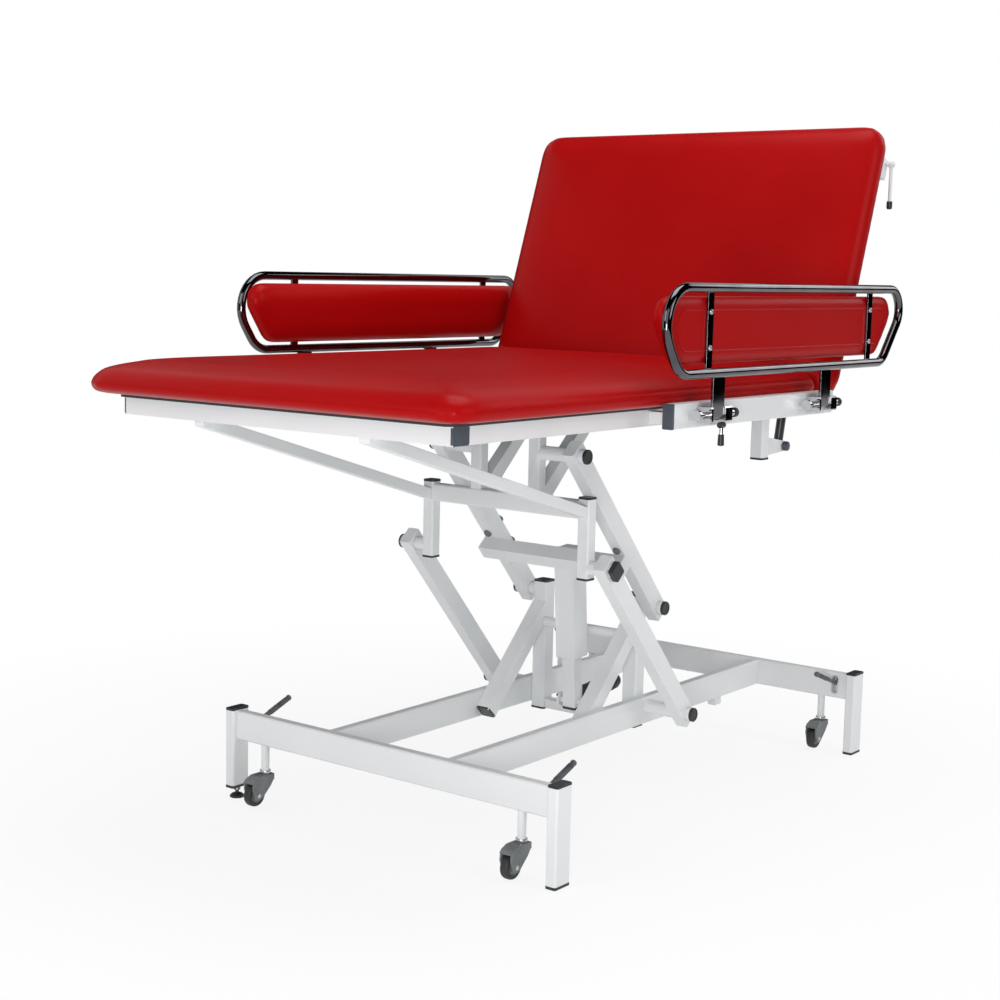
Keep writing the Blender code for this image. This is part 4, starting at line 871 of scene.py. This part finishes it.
def bent_tube(bm, points, y, radius, sides):
    """Round tube along a closed flat path in X and Z."""
    rows = []
    count = len(points)
    for k in range(count):
        run = (points[(k + 1) % count] - points[k - 1]).normalized()
        ring = []
        for m in range(sides):
            s = 2 * pi * m / sides
            ring.append(bm.verts.new((points[k].x + radius * cos(s) * run.y, y + radius * sin(s),
                                      points[k].y - radius * cos(s) * run.x)))
        rows.append(ring)
    made = []
    for k in range(count):
        for m in range(sides):
            n = (m + 1) % sides
            made.append(bm.faces.new((rows[k][m], rows[k][n], rows[(k + 1) % count][n], rows[(k + 1) % count][m])))
    bmesh.ops.recalc_face_normals(bm, faces=made)


def slab(bm, points, low, high):
    """Flat outline in Y and Z, extruded along X."""
    ends = []
    for x in (low, high):
        ends.append([bm.verts.new((x, y, z)) for y, z in points])
    count = len(points)
    made = [bm.faces.new(ends[0]), bm.faces.new(ends[1])]
    for k in range(count):
        m = (k + 1) % count
        made.append(bm.faces.new((ends[0][k], ends[0][m], ends[1][m], ends[1][k])))
    bmesh.ops.recalc_face_normals(bm, faces=made)


# Loop and straps: chrome whose colour is painted far darker than the clamps' chrome, a painted dark reflection standing
# in for a dark room.
loop_chrome_painted_dark = finish("chrome_painted_dark_reflection", (0.12, 0.12, 0.13), (0.09, 0.09, 0.10), (0.05, 0.09), 0.05, 0.0005, 0.01, 1.0)
loop_corners = ((-0.2485, 1.003), (0.6535, 1.003), (0.7935, 1.173), (-0.3645, 1.173))
loop_bend = (0.062, 0.050, 0.050, 0.074)
bend_steps = 12
loop_tube = 0.010
loop_out = 0.011
strap_x = (-0.1305, 0.5875)
leg_x = (-0.0925, 0.3755)
slide = {"near": 0.0, "far": -0.042}
strap_half = 0.011
strap_in = 0.0042
strap_thick = 0.0048
leg_half_width = 0.023
eye_radius = 0.012
eye_wrap = radians(300.0)
eye_steps = 32
leg_thick = 0.006
bolt_low = 0.050
bolt_pitch = 0.072
for side, sign in (("near", -1), ("far", 1)):
    fold = pivot["side_rail_" + side + "_fold"]
    out = sign * fold.y
    low_z = loop_corners[0][1]
    high_z = loop_corners[2][1]
    along = slide[side]
    loop = bmesh.new()
    path = rounded([(x + along, z) for x, z in loop_corners], loop_bend, bend_steps)
    bent_tube(loop, path, sign * (out + loop_out), loop_tube, 24)
    fit(shaped("side_loop_" + side, loop, loop_chrome_painted_dark, 60), "side_rail_" + side, "chrome", "side_rail_" + side)
    flats = bmesh.new()
    inner = sign * (out + strap_in)
    outer = sign * (out + strap_in + strap_thick)
    for x in strap_x:
        slab(flats, ((inner, low_z), (outer, low_z), (outer, high_z), (inner, high_z)),
             x + along - strap_half, x + along + strap_half)
    for x in leg_x:
        ring = [(eye_radius, 0.0)]
        for k in range(1, eye_steps + 1):
            s = -eye_wrap * k / eye_steps
            ring.append((eye_radius * cos(s), eye_radius * sin(s)))
        ring += [(eye_radius - leg_thick, low_z - fold.z), (eye_radius, low_z - fold.z)]
        slab(flats, [(sign * (out + u), fold.z + v) for u, v in ring],
             x + along - leg_half_width, x + along + leg_half_width)
    fit(shaped("side_straps_" + side, flats, loop_chrome_painted_dark, 30, 0.0009), "side_rail_" + side, "chrome")
    for strap, x in zip(("front", "rear"), strap_x):
        bolt = bmesh.new()
        turned(bolt, (0, 0, 0), sign * Y, ((0.0, -0.001), (0.0058, -0.001), (0.0058, 0.0008), (0.0050, 0.0022),
                                           (0.0030, 0.0031), (0.0, 0.0034)), 20)
        bolts = row("side_bolts_" + strap + "_" + side, bolt, zinc, 2,
                    (x + along, outer, low_z + bolt_low), (0, 0, bolt_pitch))
        fit(bolts, "side_rail_" + side, "chrome")

# Bolsters: slim foam pads in the same red vinyl on the straps inside each loop.
# A piped seam runs round the outer back of each pad, a little in from its edge.


def inset(corners, by):
    """Corner points of a polygon drawn in by one distance."""
    points = []
    for k, corner in enumerate(corners):
        p = Vector(corner)
        a = (Vector(corners[k - 1]) - p).normalized()
        b = (Vector(corners[(k + 1) % len(corners)]) - p).normalized()
        points.append(tuple(p + (a + b) * by / sin(a.angle(b))))
    return points


slim = 0.82
welt_in = 0.044
welt_bend = (0.030, 0.022, 0.022, 0.036)
welt_radius = 0.0016
for side, sign in (("near", -1), ("far", 1)):
    body = "side_rail_" + side
    pad = upholstered("bolster_cover_" + side, "side_bolster_" + side, sign * Y, 0.007, 0.0055, 0.003)
    low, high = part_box("side_bolster_" + side)
    back_y = high[1] if sign > 0 else low[1]
    for v in pad.data.vertices:
        v.co.y = back_y + slim * (v.co.y - back_y)
    fit(pad, body, "red_vinyl", "side_bolster_" + side)
    line = inset([(x + slide[side], z) for x, z in loop_corners], welt_in)
    welt = bmesh.new()
    bent_tube(welt, rounded(line, welt_bend, 8), back_y - sign * 0.0004, welt_radius, 10)
    fit(shaped("bolster_welt_" + side, welt, vinyl, 60), body, "red_vinyl")
